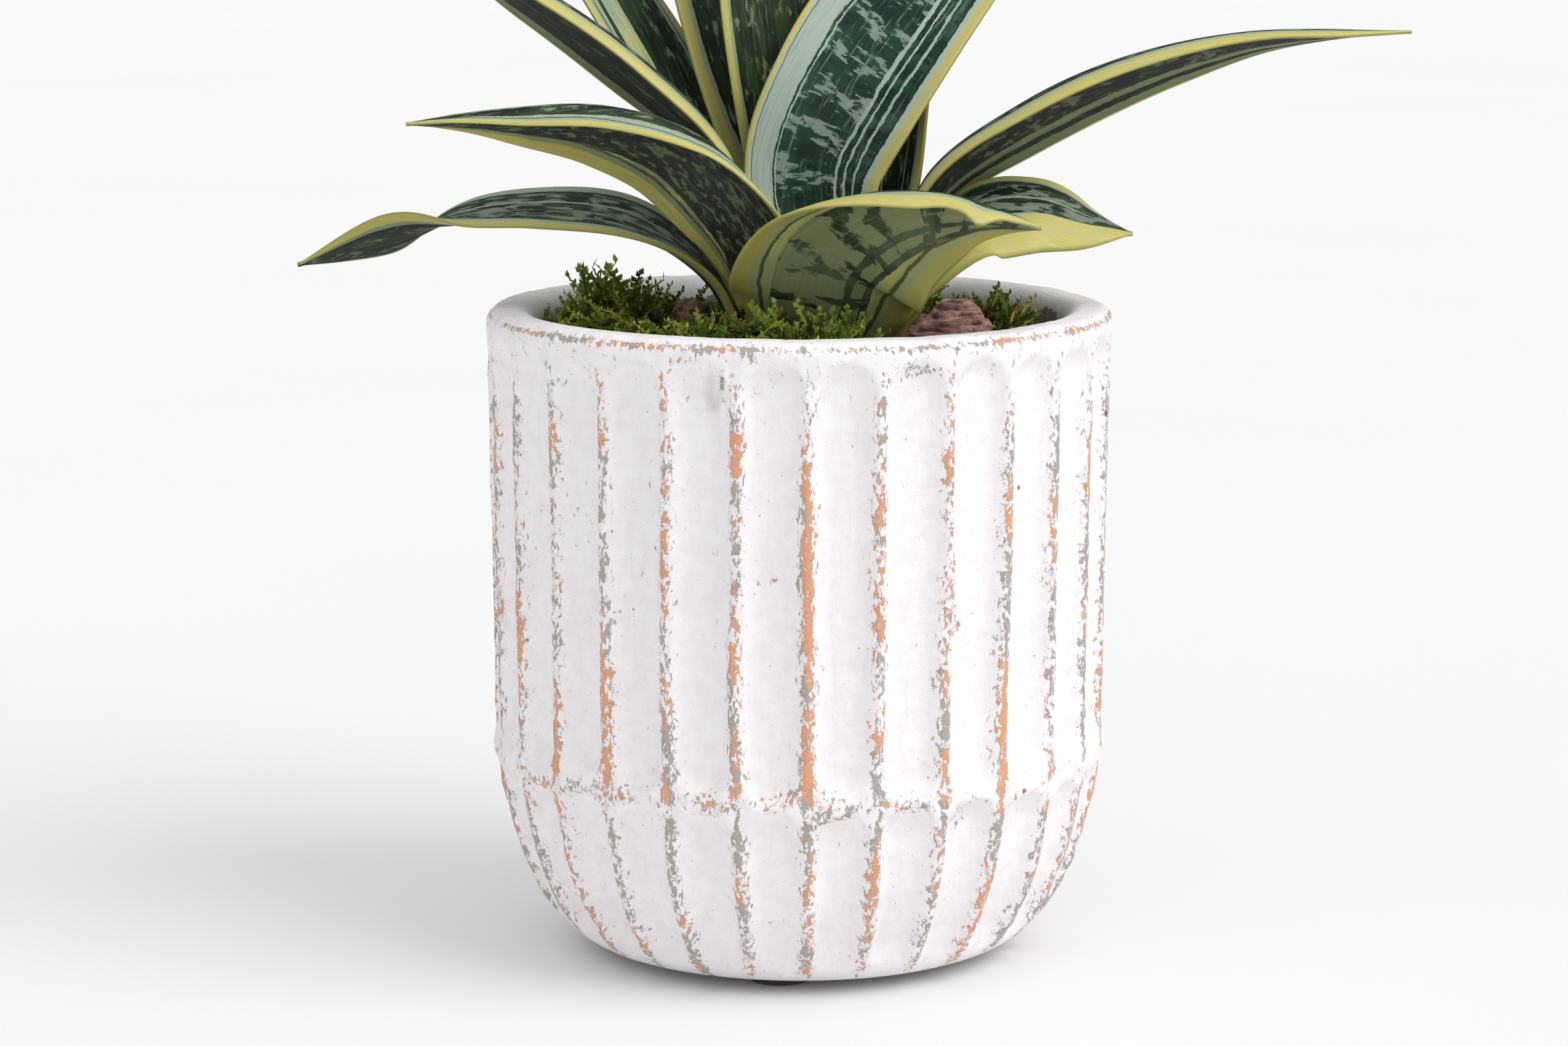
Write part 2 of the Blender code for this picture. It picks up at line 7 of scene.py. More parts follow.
import bpy
import numpy as np
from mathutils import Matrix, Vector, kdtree


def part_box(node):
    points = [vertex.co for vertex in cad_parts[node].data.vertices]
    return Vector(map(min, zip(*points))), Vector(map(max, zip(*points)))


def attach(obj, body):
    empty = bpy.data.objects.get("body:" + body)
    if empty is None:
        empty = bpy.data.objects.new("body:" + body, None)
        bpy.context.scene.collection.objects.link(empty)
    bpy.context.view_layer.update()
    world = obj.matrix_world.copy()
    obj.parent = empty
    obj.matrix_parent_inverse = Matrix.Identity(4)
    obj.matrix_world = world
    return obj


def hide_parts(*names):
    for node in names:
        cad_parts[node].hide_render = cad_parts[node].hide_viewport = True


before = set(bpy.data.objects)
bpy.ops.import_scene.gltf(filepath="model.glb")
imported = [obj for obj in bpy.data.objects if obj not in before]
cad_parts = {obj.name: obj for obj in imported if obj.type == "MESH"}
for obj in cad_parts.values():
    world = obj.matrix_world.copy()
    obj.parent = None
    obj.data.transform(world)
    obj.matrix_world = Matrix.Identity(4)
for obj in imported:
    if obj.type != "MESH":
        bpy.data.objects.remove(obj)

MM = 0.001
TAU = 2 * math.pi
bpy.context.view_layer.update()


def box(node):
    """A node's lowest and highest corners, in millimetres."""
    return [np.array(corner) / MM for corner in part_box(node)]


POT_LOW, POT_HIGH = box("pot")
POT_RADIUS = POT_HIGH[0]
POT_BASE_Z = POT_LOW[2]
RIM_Z = POT_HIGH[2]
RHIZOME_LOW, RHIZOME_HIGH = box("rhizome")
CROWN = np.array([*(RHIZOME_LOW + RHIZOME_HIGH)[:2] / 2, RHIZOME_HIGH[2]])   # the crown's axis at the soil
SOIL_Z = CROWN[2]
AXIS = (0.0, 0.0)         # the pot's
GAP = 0.3                 # clearance between touching pieces


# ---------------------------------------------------------------- shapes

def scatter(cells, seed):
    """A repeatable number from -1 to 1 for each whole-numbered cell, made by mixing its bits."""
    x, y, z = (cells[..., k].astype(np.int64) for k in range(3))
    bits = (x * 73856093 ^ y * 19349663 ^ z * 83492791 ^ (seed + 1) * 40503001) & 0xFFFFFFFF
    for shift, factor in ((15, 0x2C1B3C6D), (12, 0x297A2D39), (15, 1)):
        bits = (bits ^ bits >> shift) * factor & 0xFFFFFFFF
    return bits / 0x7FFFFFFF - 1


def noise(points, size, seed=0, octaves=1):
    """Smooth noise from about -1 to 1, with lumps that far apart; each further octave is half of the last.

    The random numbers of the eight cells round a point are blended with 3t^2 - 2t^3 in each direction.
    """
    place = np.asarray(points, float) / size
    total, strength, whole = 0.0, 1.0, 0.0
    for octave in range(octaves):
        low = np.floor(place)
        t = place - low
        t = t * t * (3 - 2 * t)
        for corner in np.ndindex(2, 2, 2):
            share = np.prod(np.where(corner, t, 1 - t), axis=-1)
            total = total + strength * share * scatter(low + corner, seed + octave)
        whole += strength
        strength /= 2
        place = place * 2
    return total / whole


def ease(value, low, high):
    """0 up to low, 1 from high on, and smooth between them."""
    t = np.clip((value - low) / (high - low), 0, 1)
    return t * t * (3 - 2 * t)


def bell(value, width):
    """1 at nought, falling off smoothly either side."""
    return np.exp(-(value / width) ** 2)


def stack(*columns):
    """Points from their coordinates, each an array or a number."""
    return np.stack(np.broadcast_arrays(*columns), axis=-1).astype(float)


def around(centre, radius, angle, z=0.0):
    """Points at a radius and a direction from a centre's upright axis, at a height."""
    return stack(centre[0] + radius * np.cos(angle), centre[1] + radius * np.sin(angle), z)


def spun(x, y, z, angle):
    """Points turned about Z."""
    return stack(x * math.cos(angle) - y * math.sin(angle), x * math.sin(angle) + y * math.cos(angle), z)


def unit(directions):
    """Directions of length one."""
    return directions / np.linalg.norm(directions, axis=-1)[..., None]


def run(points):
    """How far along a line each of its points is."""
    return np.concatenate([[0.0], np.cumsum(np.linalg.norm(np.diff(points, axis=0), axis=1))])


def grid(rows, columns):
    """Quads between neighbouring rings of points; each ring closes on itself."""
    index = np.arange(rows * columns).reshape(rows, columns)
    index = np.concatenate([index, index[:, :1]], axis=1)
    return stack(index[:-1, :-1], index[:-1, 1:], index[1:, 1:], index[1:, :-1]).reshape(-1, 4).astype(int)


def lid(ring, centre, end=False):
    """Triangles from a ring's points to a centre point; `end` turns them to face the other way."""
    after = np.roll(ring, -1)
    pair = (ring, after) if end else (after, ring)
    return stack(*pair, np.full(len(ring), centre)).astype(int)


def closed_rings(rings):
    """Points and faces of a skin over rings of points, each end closed to the ring's middle."""
    rows, columns = rings.shape[:2]
    count = rows * columns
    points = np.concatenate([rings.reshape(-1, 3), [rings[0].mean(0), rings[-1].mean(0)]])
    last = np.arange(count - columns, count)
    faces = [grid(rows, columns), lid(np.arange(columns), count), lid(last, count + 1, end=True)]
    return points, faces


def ring_values(values):
    """A value for each point of closed_rings, from an array with a value for each point of the rings."""
    flat = values.reshape(-1, *values.shape[2:])
    return np.concatenate([flat, [values[0].mean(0), values[-1].mean(0)]])


def evenly(points, count, endpoint=False):
    """Points spaced evenly along a line of closely set points."""
    along = run(points)
    places = np.linspace(0, along[-1], count, endpoint=endpoint)
    return np.stack([np.interp(places, along, column) for column in points.T], axis=1)


def tube(path, radii, sides):
    """Points and faces of a closed tube: level-based rings of a radius for each point of a path."""
    tangent = unit(np.gradient(path, axis=0))
    aside = unit(np.cross(tangent, [0.31, 0.22, 0.92]))
    above = np.cross(tangent, aside)
    turn = np.arange(sides) / sides * TAU
    spokes = aside[:, None] * np.cos(turn)[:, None] + above[:, None] * np.sin(turn)[:, None]
    return closed_rings(path[:, None] + spokes * np.asarray(radii)[:, None, None])


def joined(parts):
    """One set of points and faces from several."""
    points, faces, first = [], [], 0
    for some, their_faces in parts:
        points.append(some)
        faces += [face + first for face in their_faces]
        first += len(some)
    return np.concatenate(points), faces


def add_piece(name, points, faces, material, stands_for=(), attributes=None, crease=180.0):
    """A piece on the root body from points in millimetres and arrays of quads or triangles."""
    mesh = bpy.data.meshes.new(name)
    mesh.vertices.add(len(points))
    mesh.vertices.foreach_set("co", np.ravel(points * MM).astype(np.float32))
    corners = np.concatenate([face.ravel() for face in faces]).astype(np.int32)
    mesh.loops.add(len(corners))
    mesh.loops.foreach_set("vertex_index", corners)
    sizes = np.concatenate([np.full(len(face), face.shape[1]) for face in faces])
    mesh.polygons.add(len(sizes))
    mesh.polygons.foreach_set("loop_start", (np.cumsum(sizes) - sizes).astype(np.int32))
    mesh.update(calc_edges=True)
    mesh.shade_smooth()
    if crease < 180.0:
        mesh.set_sharp_from_angle(angle=math.radians(crease))
    for label, values in (attributes or {}).items():
        scalar = values.ndim == 1
        layer = mesh.attributes.new(label, "FLOAT" if scalar else "FLOAT_VECTOR", "POINT")
        layer.data.foreach_set("value" if scalar else "vector", values.ravel().astype(np.float32))
    mesh.materials.append(material)
    piece = bpy.data.objects.new(name, mesh)
    bpy.context.scene.collection.objects.link(piece)
    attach(piece, "root")
    if stands_for:
        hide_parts(*stands_for)
    return piece


# ---------------------------------------------------------------- shading

def colour(code):
    """A colour with its alpha, from the six hexadecimal digits that a paint maker gives."""
    channels = [int(code[k:k + 2], 16) / 255 for k in (0, 2, 4)]
    return [c / 12.92 if c < 0.04045 else ((c + 0.055) / 1.055) ** 2.4 for c in channels] + [1.0]


class Shading:
    """One node tree under construction: each call adds a node and gives its output."""

    def __init__(self, tree):
        self.tree = tree

    def wire(self, socket, value):
        """Links a socket to another node's output, or sets its value; a text is a colour's code."""
        if isinstance(value, bpy.types.NodeSocket):
            self.tree.links.new(value, socket)
        else:
            socket.default_value = colour(value) if isinstance(value, str) else value

    def add(self, kind, inputs, output=0, **settings):
        node = self.tree.nodes.new(kind)
        for label, value in settings.items():
            setattr(node, label, value)
        for key, value in inputs.items():
            self.wire(node.inputs[key], value)
        return node.outputs[output]

    def math(self, operation, *values):
        return self.add("ShaderNodeMath", dict(enumerate(values)), operation=operation)

    def times(self, a, b):
        return self.math("MULTIPLY", a, b)

    def plus(self, a, b):
        return self.math("ADD", a, b)

    def minus(self, a, b):
        return self.math("SUBTRACT", a, b)

    def combine(self, x, y, z):
        return self.add("ShaderNodeCombineXYZ", {0: x, 1: y, 2: z})

    def stretched(self, place, x, y, z):
        """A place with each of its coordinates multiplied; a pattern there is longer where that is small."""
        factors = self.combine(x, y, z)
        return self.add("ShaderNodeVectorMath", {0: place, 1: factors}, operation="MULTIPLY")

    def separate(self, vector):
        return self.add("ShaderNodeSeparateXYZ", {0: vector}).node.outputs

    def mix(self, factor, a, b, strength=None):
        """Colour a where the factor is 0 and b, or that strength of b over a, where it is 1."""
        factor = factor if strength is None else self.times(factor, strength)
        return self.add("ShaderNodeMix", {0: factor, 6: a, 7: b}, 2, data_type="RGBA")

    def ease(self, value, low, high, to_low=0.0, to_high=1.0):
        inputs = {"Value": value, "From Min": low, "From Max": high, "To Min": to_low, "To Max": to_high}
        return self.add("ShaderNodeMapRange", inputs, interpolation_type="SMOOTHSTEP")

    def noise(self, place, size, detail=3.0, roughness=0.55, distortion=0.0):
        """Noise from 0 to 1, with lumps that many millimetres apart, or that many of place's own units."""
        inputs = {"Vector": place, "Scale": 1 / size, "Detail": detail, "Roughness": roughness}
        return self.add("ShaderNodeTexNoise", {**inputs, "Distortion": distortion})

    def ramp(self, value, stops, interpolation="LINEAR"):
        """A colour for each value, from stops that are a place and a colour each."""
        node = self.add("ShaderNodeValToRGB", {0: value}).node
        node.color_ramp.interpolation = interpolation
        points = node.color_ramp.elements
        while len(points) < len(stops):
            points.new(0.5)
        for point, (place, shade) in zip(points, stops):
            point.position = place
            point.color = shade
        return node.outputs[0]

    def attribute(self, label, output="Fac"):
        return self.add("ShaderNodeAttribute", {}, output, attribute_name=label)

    def place(self):
        """The point's place on the object, in millimetres."""
        at = self.add("ShaderNodeTexCoord", {}, "Object")
        return self.add("ShaderNodeVectorMath", {0: at, "Scale": 1 / MM}, operation="SCALE")

    def effect(self, group, **inputs):
        """A node group in this tree, with its outputs by name."""
        return self.add("ShaderNodeGroup", inputs, node_tree=group).node.outputs

    def bump(self, height, depth, normal=None):
        """A normal for a surface that rises by `depth` millimetres where the height is 1."""
        inputs = {"Height": height, "Strength": 1.0, "Distance": depth * MM}
        if normal:
            inputs["Normal"] = normal
        return self.add("ShaderNodeBump", inputs)

    def surface(self, base_colour, roughness, normal, **settings):
        """The Principled shader and the material's output; settings are plain values on its sockets."""
        inputs = {"Base Color": base_colour, "Roughness": roughness, "Normal": normal}
        for label, value in settings.items():
            inputs[label.replace("_", " ")] = value
        shader = self.add("ShaderNodeBsdfPrincipled", inputs)
        output = self.tree.nodes.new("ShaderNodeOutputMaterial")
        self.tree.links.new(shader, output.inputs["Surface"])

    def grained(self, shade, grain, low, high, depth, **settings):
        """A surface that is rougher, from low to high, and stands higher where its grain is lighter."""
        self.surface(shade, self.ease(grain, 0.3, 0.7, low, high), self.bump(grain, depth), **settings)


def new_material(name):
    """A material with an empty tree, and the Shading that fills it."""
    material = bpy.data.materials.new(name)
    material.use_nodes = True
    material.node_tree.nodes.clear()
    return material, Shading(material.node_tree)


def new_effect(name, inputs, outputs, build):
    """A shader node group: build(shading, *inputs) gives the value of each output."""
    tree = bpy.data.node_groups.new(name, "ShaderNodeTree")
    for label, value in inputs:
        kind = {3: "NodeSocketVector", 4: "NodeSocketColor"}.get(np.size(value), "NodeSocketFloat")
        tree.interface.new_socket(label, in_out="INPUT", socket_type=kind).default_value = value
    for label, kind in outputs:
        tree.interface.new_socket(label, in_out="OUTPUT", socket_type=kind)
    start = tree.nodes.new("NodeGroupInput")
    end = tree.nodes.new("NodeGroupOutput")
    shading = Shading(tree)
    for socket, value in zip(end.inputs, build(shading, *list(start.outputs)[:-1])):
        shading.wire(socket, value)
    return tree


def build_grit(s, place, size):
    """Grains of one size, soft blotches six times as large and sparse dark specks."""
    near = s.add("ShaderNodeVectorMath", {0: place, 1: s.combine(size, size, size)}, operation="DIVIDE")
    grain = s.noise(near, 1.0, 4.0, 0.65)
    blotch = s.noise(near, 6.0, 3.0, 0.5)
    cell = s.add("ShaderNodeTexVoronoi", {"Vector": near, "Scale": 0.45}, "Distance")
    return grain, blotch, s.ease(cell, 0.14, 0.07)


GRIT = new_effect("grit", [("Place", (0, 0, 0)), ("Size", 1.0)],
                  [("Grain", "NodeSocketFloat"), ("Blotch", "NodeSocketFloat"), ("Speck", "NodeSocketFloat")],
                  build_grit)


def gritty(name, size):
    """A new material, the Shading that fills it, the point's place and grit of a size there."""
    material, s = new_material(name)
    place = s.place()
    return material, s, place, s.effect(GRIT, Place=place, Size=size)


# ---------------------------------------------------------------- the pot

POT_TAPER = 1.0           # the wall is this much narrower at the shoulder than at the rim
SHOULDER = 46.0           # height of the shoulder, where the wall turns into the foot
FOOT_INSET = 22.0
FOOT_FULLNESS = 1.84
RIM_ROUND = 3.0
LIP_ROUND = 4.0
WALL = 9.9
WALL_GROWTH = 1.5         # the wall is this much thicker at the floor
FLOOR = 10.0
INNER_CORNER = 24.0
FLUTES = 28
FLUTE_DEPTH = 3.1
FLUTE_TURN = math.radians(1.3)   # direction of the first ridge
RIDGE = 1.9               # width of the ridge left between two flutes
RIM_BAND = 4.6            # from the rim down to the flutes' round ends
SEAM = 41.0               # height of the joint line where the upper and the lower flutes meet
SEAM_BAND = 2.2
FOOT_BAND = 2.0
POT_COLUMNS = 560
POT_ROUGHNESS = ((0.16, 16, 5, 2), (0.06, 4.2, 6, 1), (0.05, 1.7, 7, 1))   # height, size, seed, octaves
POT_HEIGHT = RIM_Z - POT_BASE_Z

# A knock or a scrape: direction, height, width, tall, how deep, how bare
MARKS = (
    (254, 124, 2.2, 5, -2.2, 0.1),
    (256.4, 125, 1.2, 4, 0.8, 0.58),
    (262, 130.5, 2.6, 1.2, -0.3, 0.52),
    (290.5, 128, 7, 2, -0.35, 0.50),
    (249, 130, 4, 1.4, -0.3, 0.50),
    (272, 120.5, 2, 3, 0.3, 0.42),
    (298.5, 77, 4, 6, -0.45, 0.48),
    (296.5, 65, 4.5, 4.5, -0.4, 0.44),
    (230, 41, 7, 6, -0.35, 0.4),
    (275, 40, 9, 4, 0.3, 0.42),
    (300, 37, 8, 6, -0.3, 0.3),
    (282, 118, 4, 9, 0.35, 0.1),
    (243, 92, 2.5, 2, -0.3, 0.25),
    (265, 86.5, 1, 1, -0.5, 0.8),
    (35, 60, 7, 9, -0.3, 0.35),
    (80, 96, 4, 6, -0.4, 0.3),
    (130, 45, 9, 6, 0.3, 0.4),
    (170, 110, 4, 4, -0.35, 0.3),
)


def pot_profile():
    """The pot's section, as radius and height in rows from under its middle, up the outside, and down
    the inside: a flat underside, a superelliptic foot, a tapered wall, a rim of two quarter circles
    with a flat between them, and inside a straight wall that ends in a quarter circle.
    """
    t = np.linspace(0, math.pi / 2, 200)
    low_radius = POT_RADIUS - POT_TAPER
    foot = stack(low_radius - FOOT_INSET * (1 - np.sin(t) ** (2 / FOOT_FULLNESS)),
                 POT_BASE_Z + SHOULDER * (1 - np.cos(t) ** (2 / FOOT_FULLNESS)))
    rim = stack(POT_RADIUS - RIM_ROUND * (1 - np.cos(t)), RIM_Z - RIM_ROUND * (1 - np.sin(t)))
    inner = POT_RADIUS - WALL
    lip = stack(inner + LIP_ROUND * (1 - np.sin(t)), RIM_Z - LIP_ROUND * (1 - np.cos(t)))
    floor_z = POT_BASE_Z + FLOOR
    deep = inner - WALL_GROWTH
    corner = stack(deep - INNER_CORNER * (1 - np.cos(t)), floor_z + INNER_CORNER * (1 - np.sin(t)))
    stretches = (
        (stack(np.array([6.0, foot[0, 0]]), POT_BASE_Z), 6),
        (foot, 48),
        (np.array([foot[-1], rim[0]]), 82),
        (rim, 7),
        (np.array([rim[-1], lip[0]]), 3),
        (lip, 8),
        (np.array([lip[-1], [inner, SOIL_Z - 2]]), 10),
        (np.array([[inner, SOIL_Z - 2], corner[0]]), 4),
        (corner, 5),
        (stack(np.array([corner[-1, 0], 6.0]), floor_z), 2),
    )
    return np.concatenate([evenly(line, rows) for line, rows in stretches])


def flute_field(angle, height, radius):
    """How deep the flutes cut at a place on the wall, its distance to the nearest ridge, how far along
    a flute it is, from 0 beyond its ends to 1, and the ridge's number.

    A flute is a capsule. Rho is the distance from its middle line, or from the centre of its round
    end, over its half width; its depth is FLUTE_DEPTH (1 - rho^3.6), with a soft edge.
    """
    turn = (angle - FLUTE_TURN) / TAU * FLUTES
    ridge = np.round(turn) % FLUTES
    turn = turn + 0.035 * noise(stack(ridge * 31, height, 0), 22, 3)
    number = np.floor(turn) % FLUTES
    half_pitch = math.pi * radius / FLUTES
    across = (turn - np.floor(turn) - 0.5) * 2 * half_pitch
    width = half_pitch - RIDGE / 2
    spans = ((SEAM + SEAM_BAND / 2, POT_HEIGHT - RIM_BAND, 11), (FOOT_BAND, SEAM - SEAM_BAND / 2, 12))
    depth = np.zeros_like(across)
    fluted = np.zeros_like(across)
    for low, high, seed in spans:
        spread = scatter(stack(number, 0, 0), seed)
        low = low + 2.0 * scatter(stack(number, 1, 0), seed)
        high = high + 0.7 * spread
        beyond = np.maximum(np.maximum(height - high + width, low + width - height), 0)
        rho = np.hypot(across, beyond) / width
        rise = 1 - rho ** 3.6
        soft = (rise + np.sqrt(rise ** 2 + 0.002)) / 2
        shallow = 0.8 + 0.2 * ease(height, POT_HEIGHT - 4, POT_HEIGHT - 18)
        depth = np.maximum(depth, soft * (FLUTE_DEPTH + 0.2 * spread) * shallow)
        fluted = np.maximum(fluted, ease(height, low - 4, low) * ease(height, high + 3, high - 4))
    to_ridge = half_pitch - np.abs(across)
    return depth * ease(height, 0.5, 10), to_ridge, fluted, ridge


def make_pot(material):
    """The pot's skin: its section turned about Z, pushed in by the flutes and marks, and roughened
    along its normals by noise of three sizes, with more along the ridges, the rim and the joint line.

    "wear" says how rubbed each place is: ridges, the rim's edge, the joint line and the marks.
    "inside" is 1 on the lip and the inner wall.
    """
    profile = pot_profile()
    slope = unit(np.gradient(profile, axis=0))
    angle = FLUTE_TURN + np.arange(POT_COLUMNS) / POT_COLUMNS * TAU
    angle, radius = np.meshgrid(angle, profile[:, 0])
    z = np.repeat(profile[:, 1:], POT_COLUMNS, axis=1)
    height = z - POT_BASE_Z
    rows = np.arange(len(profile))[:, None]
    crest = np.argmax(profile[:, 1])
    outside = ease(rows + 0 * z, crest + 9, crest)
    place = around(AXIS, radius, angle, z)

    depth, to_ridge, fluted, ridge = flute_field(angle, height, radius)
    seam_line = SEAM + 3.2 * noise(place * [1, 1, 0], 12, 21, 2)
    seam = bell(height - seam_line, 2.4)
    push = -depth
    for rise, size, seed, octaves in POT_ROUGHNESS:
        push += rise * noise(place, size, seed, octaves)
    strip = bell(to_ridge, 1.85) * fluted
    push += strip * 0.24 * noise(place * [1, 1, 0.7], 2.0, 8)
    push += seam * 0.60 * ease(noise(place, 5.0, 9, 2), -0.15, 0.1)
    rim_edge = bell(rows - crest + 4.5, 1.5)
    push -= bell(rows - crest + 5, 3.0) * 0.5 * ease(noise(place, 3.4, 10, 2), 0.16, 0.40)
    push += 0.18 * noise(place * [1, 1, 0.4], 8, 13) * ease(height, POT_HEIGHT - 12, POT_HEIGHT - 6)

    streaks = noise(stack(ridge * 41, height, angle), 24, 14)
    wear = strip * (0.70 + 0.24 * streaks) * ease(height, POT_HEIGHT - 4, POT_HEIGHT - 22)
    wear = np.maximum(wear, strip * 0.44)
    wear = np.maximum(wear, rim_edge * (0.64 + 0.30 * noise(place, 11, 15)))
    wear = np.maximum(wear, seam * (0.46 + 0.4 * noise(place, 9, 16)))
    wear = np.maximum(wear, 0.05 + 0.13 * ease(height, POT_HEIGHT - 14, POT_HEIGHT - 4))
    for direction, mark_height, wide, tall, deep, bare in MARKS:
        away = (angle - math.radians(direction) + math.pi) % TAU - math.pi
        ragged = 1 + 0.35 * noise(place, 2.2, 17)
        mark = ease(np.hypot(away * radius / wide, (height - mark_height) / tall) * 1.2, 1.1 * ragged, 0.6)
        push += deep * mark
        wear = np.maximum(wear, bare * mark)
    push *= outside * ease(height, 0.0, 1.5)
    push += (1 - outside) * 0.12 * noise(place, 3.0, 18, 2) * ease(z, SOIL_Z, SOIL_Z + 2)

    radius = radius + push * slope[:, 1:]
    z = z - push * slope[:, :1]
    points, faces = closed_rings(around(AXIS, radius, angle, z))
    attributes = {"wear": ring_values(wear * outside), "inside": ring_values(1 - outside)}
    add_piece("limewashed_pot", points, faces, material, ["pot"], attributes)


def limewash_material():
    """White limewash over orange clay slip over grey concrete, rubbed through where "wear" is high."""
    material, s, place, grit = gritty("limewash", 0.5)
    wear, inside = s.attribute("wear"), s.attribute("inside")
    tall = s.stretched(place, 1.0, 1.0, 0.55)
    ragged = s.noise(tall, 1.0, 5.0, 0.72, 0.5)
    broad = s.noise(tall, 5.5, 3.0, 0.55)
    torn = s.plus(s.times(ragged, 2.9), s.times(broad, 0.4))
    bare = s.plus(wear, s.minus(torn, 1.62))
    worn = s.ease(bare, 0.60, 0.66)
    scraped = s.ease(bare, 0.44, 0.62)

    long = s.stretched(place, 1.0, 1.0, 0.42)
    under = s.plus(s.noise(long, 8.0, 2.0, 0.5), s.times(ragged, 0.30))
    concrete = s.mix(grit["Grain"], "a39c94", "c4bdb4")
    slip = s.mix(grit["Grain"], "dc9a74", "f0b690")
    beneath = s.mix(s.ease(under, 0.65, 0.68), slip, concrete)

    lime = s.mix(s.ease(grit["Blotch"], 0.35, 0.65), "f7f3f5", "fcf9fb")
    lime = s.mix(s.ease(s.noise(place, 22.0, 3.0), 0.5, 0.75), lime, "ebe5eb", 0.25)
    lime = s.mix(scraped, lime, "dcd4d2", 0.55)
    stroke = s.stretched(place, 1.0, 1.0, 0.08)
    brushed = s.noise(stroke, 1.1, 3.0, 0.6)
    lime = s.mix(s.ease(brushed, 0.55, 0.8), lime, "ddd8dc", 0.25)
    stain = s.ease(s.noise(place, 2.6, 4.0, 0.7), 0.70, 0.76)
    lime = s.mix(stain, lime, "cfc6c3", 0.5)
    coat = s.mix(worn, lime, beneath)
    pit = s.add("ShaderNodeTexVoronoi", {"Vector": place, "Scale": 0.11}).node
    pits = s.times(s.ease(pit.outputs["Distance"], 0.075, 0.045), s.ease(inside, 0.5, 0.3))
    rare = s.math("GREATER_THAN", s.separate(pit.outputs["Color"])[0], 0.62)
    pits = s.times(pits, rare)
    coat = s.mix(pits, coat, "8c4f3d", 0.85)
    coat = s.mix(grit["Speck"], coat, "9b8f8c", 0.22)

    z = s.separate(place)[2]
    drip = s.plus(z, s.times(s.noise(place, 4.0, 4.0, 0.62), 11.0))
    raw = s.times(s.ease(drip, RIM_Z + 1.4, RIM_Z + 0.8), s.ease(inside, 0.6, 0.9))
    bare_wall = s.mix(grit["Blotch"], "8f8a82", "b9b2a7")
    shade = s.mix(raw, coat, bare_wall)

    thick = s.minus(1.0, s.math("MAXIMUM", worn, raw))
    step = s.bump(thick, 0.22)
    ripple = s.bump(brushed, 0.08, step)
    coarse = s.bump(s.minus(grit["Grain"], s.times(pits, 2.0)), 0.12, ripple)
    normal = s.bump(s.noise(place, 2.6, 5.0, 0.65), 0.20, coarse)
    rough = s.ease(s.plus(grit["Grain"], worn), 0.3, 1.6, 0.78, 0.95)
    s.surface(shade, rough, normal, Specular_IOR_Level=0.25)
    return material


# ---------------------------------------------------------------- pads, soil, twigs and bark

PAD_ROUND = 0.5           # rounding of a pad's lower edge
PAD_COLUMNS = 96
SOIL_COLUMNS = 150
SOIL_RINGS = 26
CRUMBS = 620
TWIGS = 46


def make_pad(node, seed, material):
    """A felt disc: a section with a rounded lower edge turned about the pad's axis, with a fuzz of
    noise along its side. Its lowest ring stays level, because the pot stands on it.
    """
    low, high = box(node)
    middle = (low + high) / 2
    radius, tall = (high[0] - low[0]) / 2, high[2]
    t = np.linspace(0, math.pi / 2, 40)
    edge = stack(radius - PAD_ROUND * (1 - np.sin(t)), PAD_ROUND * (1 - np.cos(t)))
    profile = np.concatenate([
        evenly(stack(np.array([0.6, radius - PAD_ROUND]), 0.0), 5),
        evenly(edge, 5),
        evenly(np.array([edge[-1], [radius, tall - 0.15]]), 7),
        evenly(np.array([[radius, tall - 0.15], [radius - 0.2, tall]]), 2),
        evenly(stack(np.array([radius - 0.2, 0.6]), tall), 4, endpoint=True),
    ])
    angle = np.arange(PAD_COLUMNS) / PAD_COLUMNS * TAU
    angle, spread = np.meshgrid(angle, profile[:, 0])
    z = np.repeat(profile[:, 1:], PAD_COLUMNS, axis=1)
    place = around(AXIS, spread, angle, z)
    side = ease(spread, radius - 1, radius)
    spread = spread + side * (0.16 * noise(place, 0.7, seed) - 0.1)
    points, faces = closed_rings(around(middle, spread, angle, z))
    add_piece(node + "_disc", points, faces, material, [node])


def felt_material():
    """Dark brown pressed felt with paler fibres."""
    material, s, place, grit = gritty("felt", 0.22)
    fibre = s.noise(s.stretched(place, 0.4, 0.4, 2.2), 0.35, 5.0, 0.7, 1.2)
    shade = s.mix(s.ease(fibre, 0.35, 0.7), "3a2e2f", "6d5b58")
    shade = s.mix(grit["Speck"], shade, "8f807a", 0.6)
    s.surface(shade, s.ease(fibre, 0.2, 0.8, 0.88, 1.0), s.bump(fibre, 0.25), Sheen_Weight=0.3)
    return material


def inner_radius(z):
    """Radius of the pot's inner wall at a height."""
    share = (RIM_Z - z) / (POT_HEIGHT - FLOOR)
    return POT_RADIUS - WALL - WALL_GROWTH * share


def reach(angle):
    """How far the inner wall is from the crown's axis at the soil, in each direction."""
    along = CROWN[0] * np.cos(angle) + CROWN[1] * np.sin(angle)
    return -along + np.sqrt(along ** 2 - CROWN[0] ** 2 - CROWN[1] ** 2 + inner_radius(SOIL_Z) ** 2)


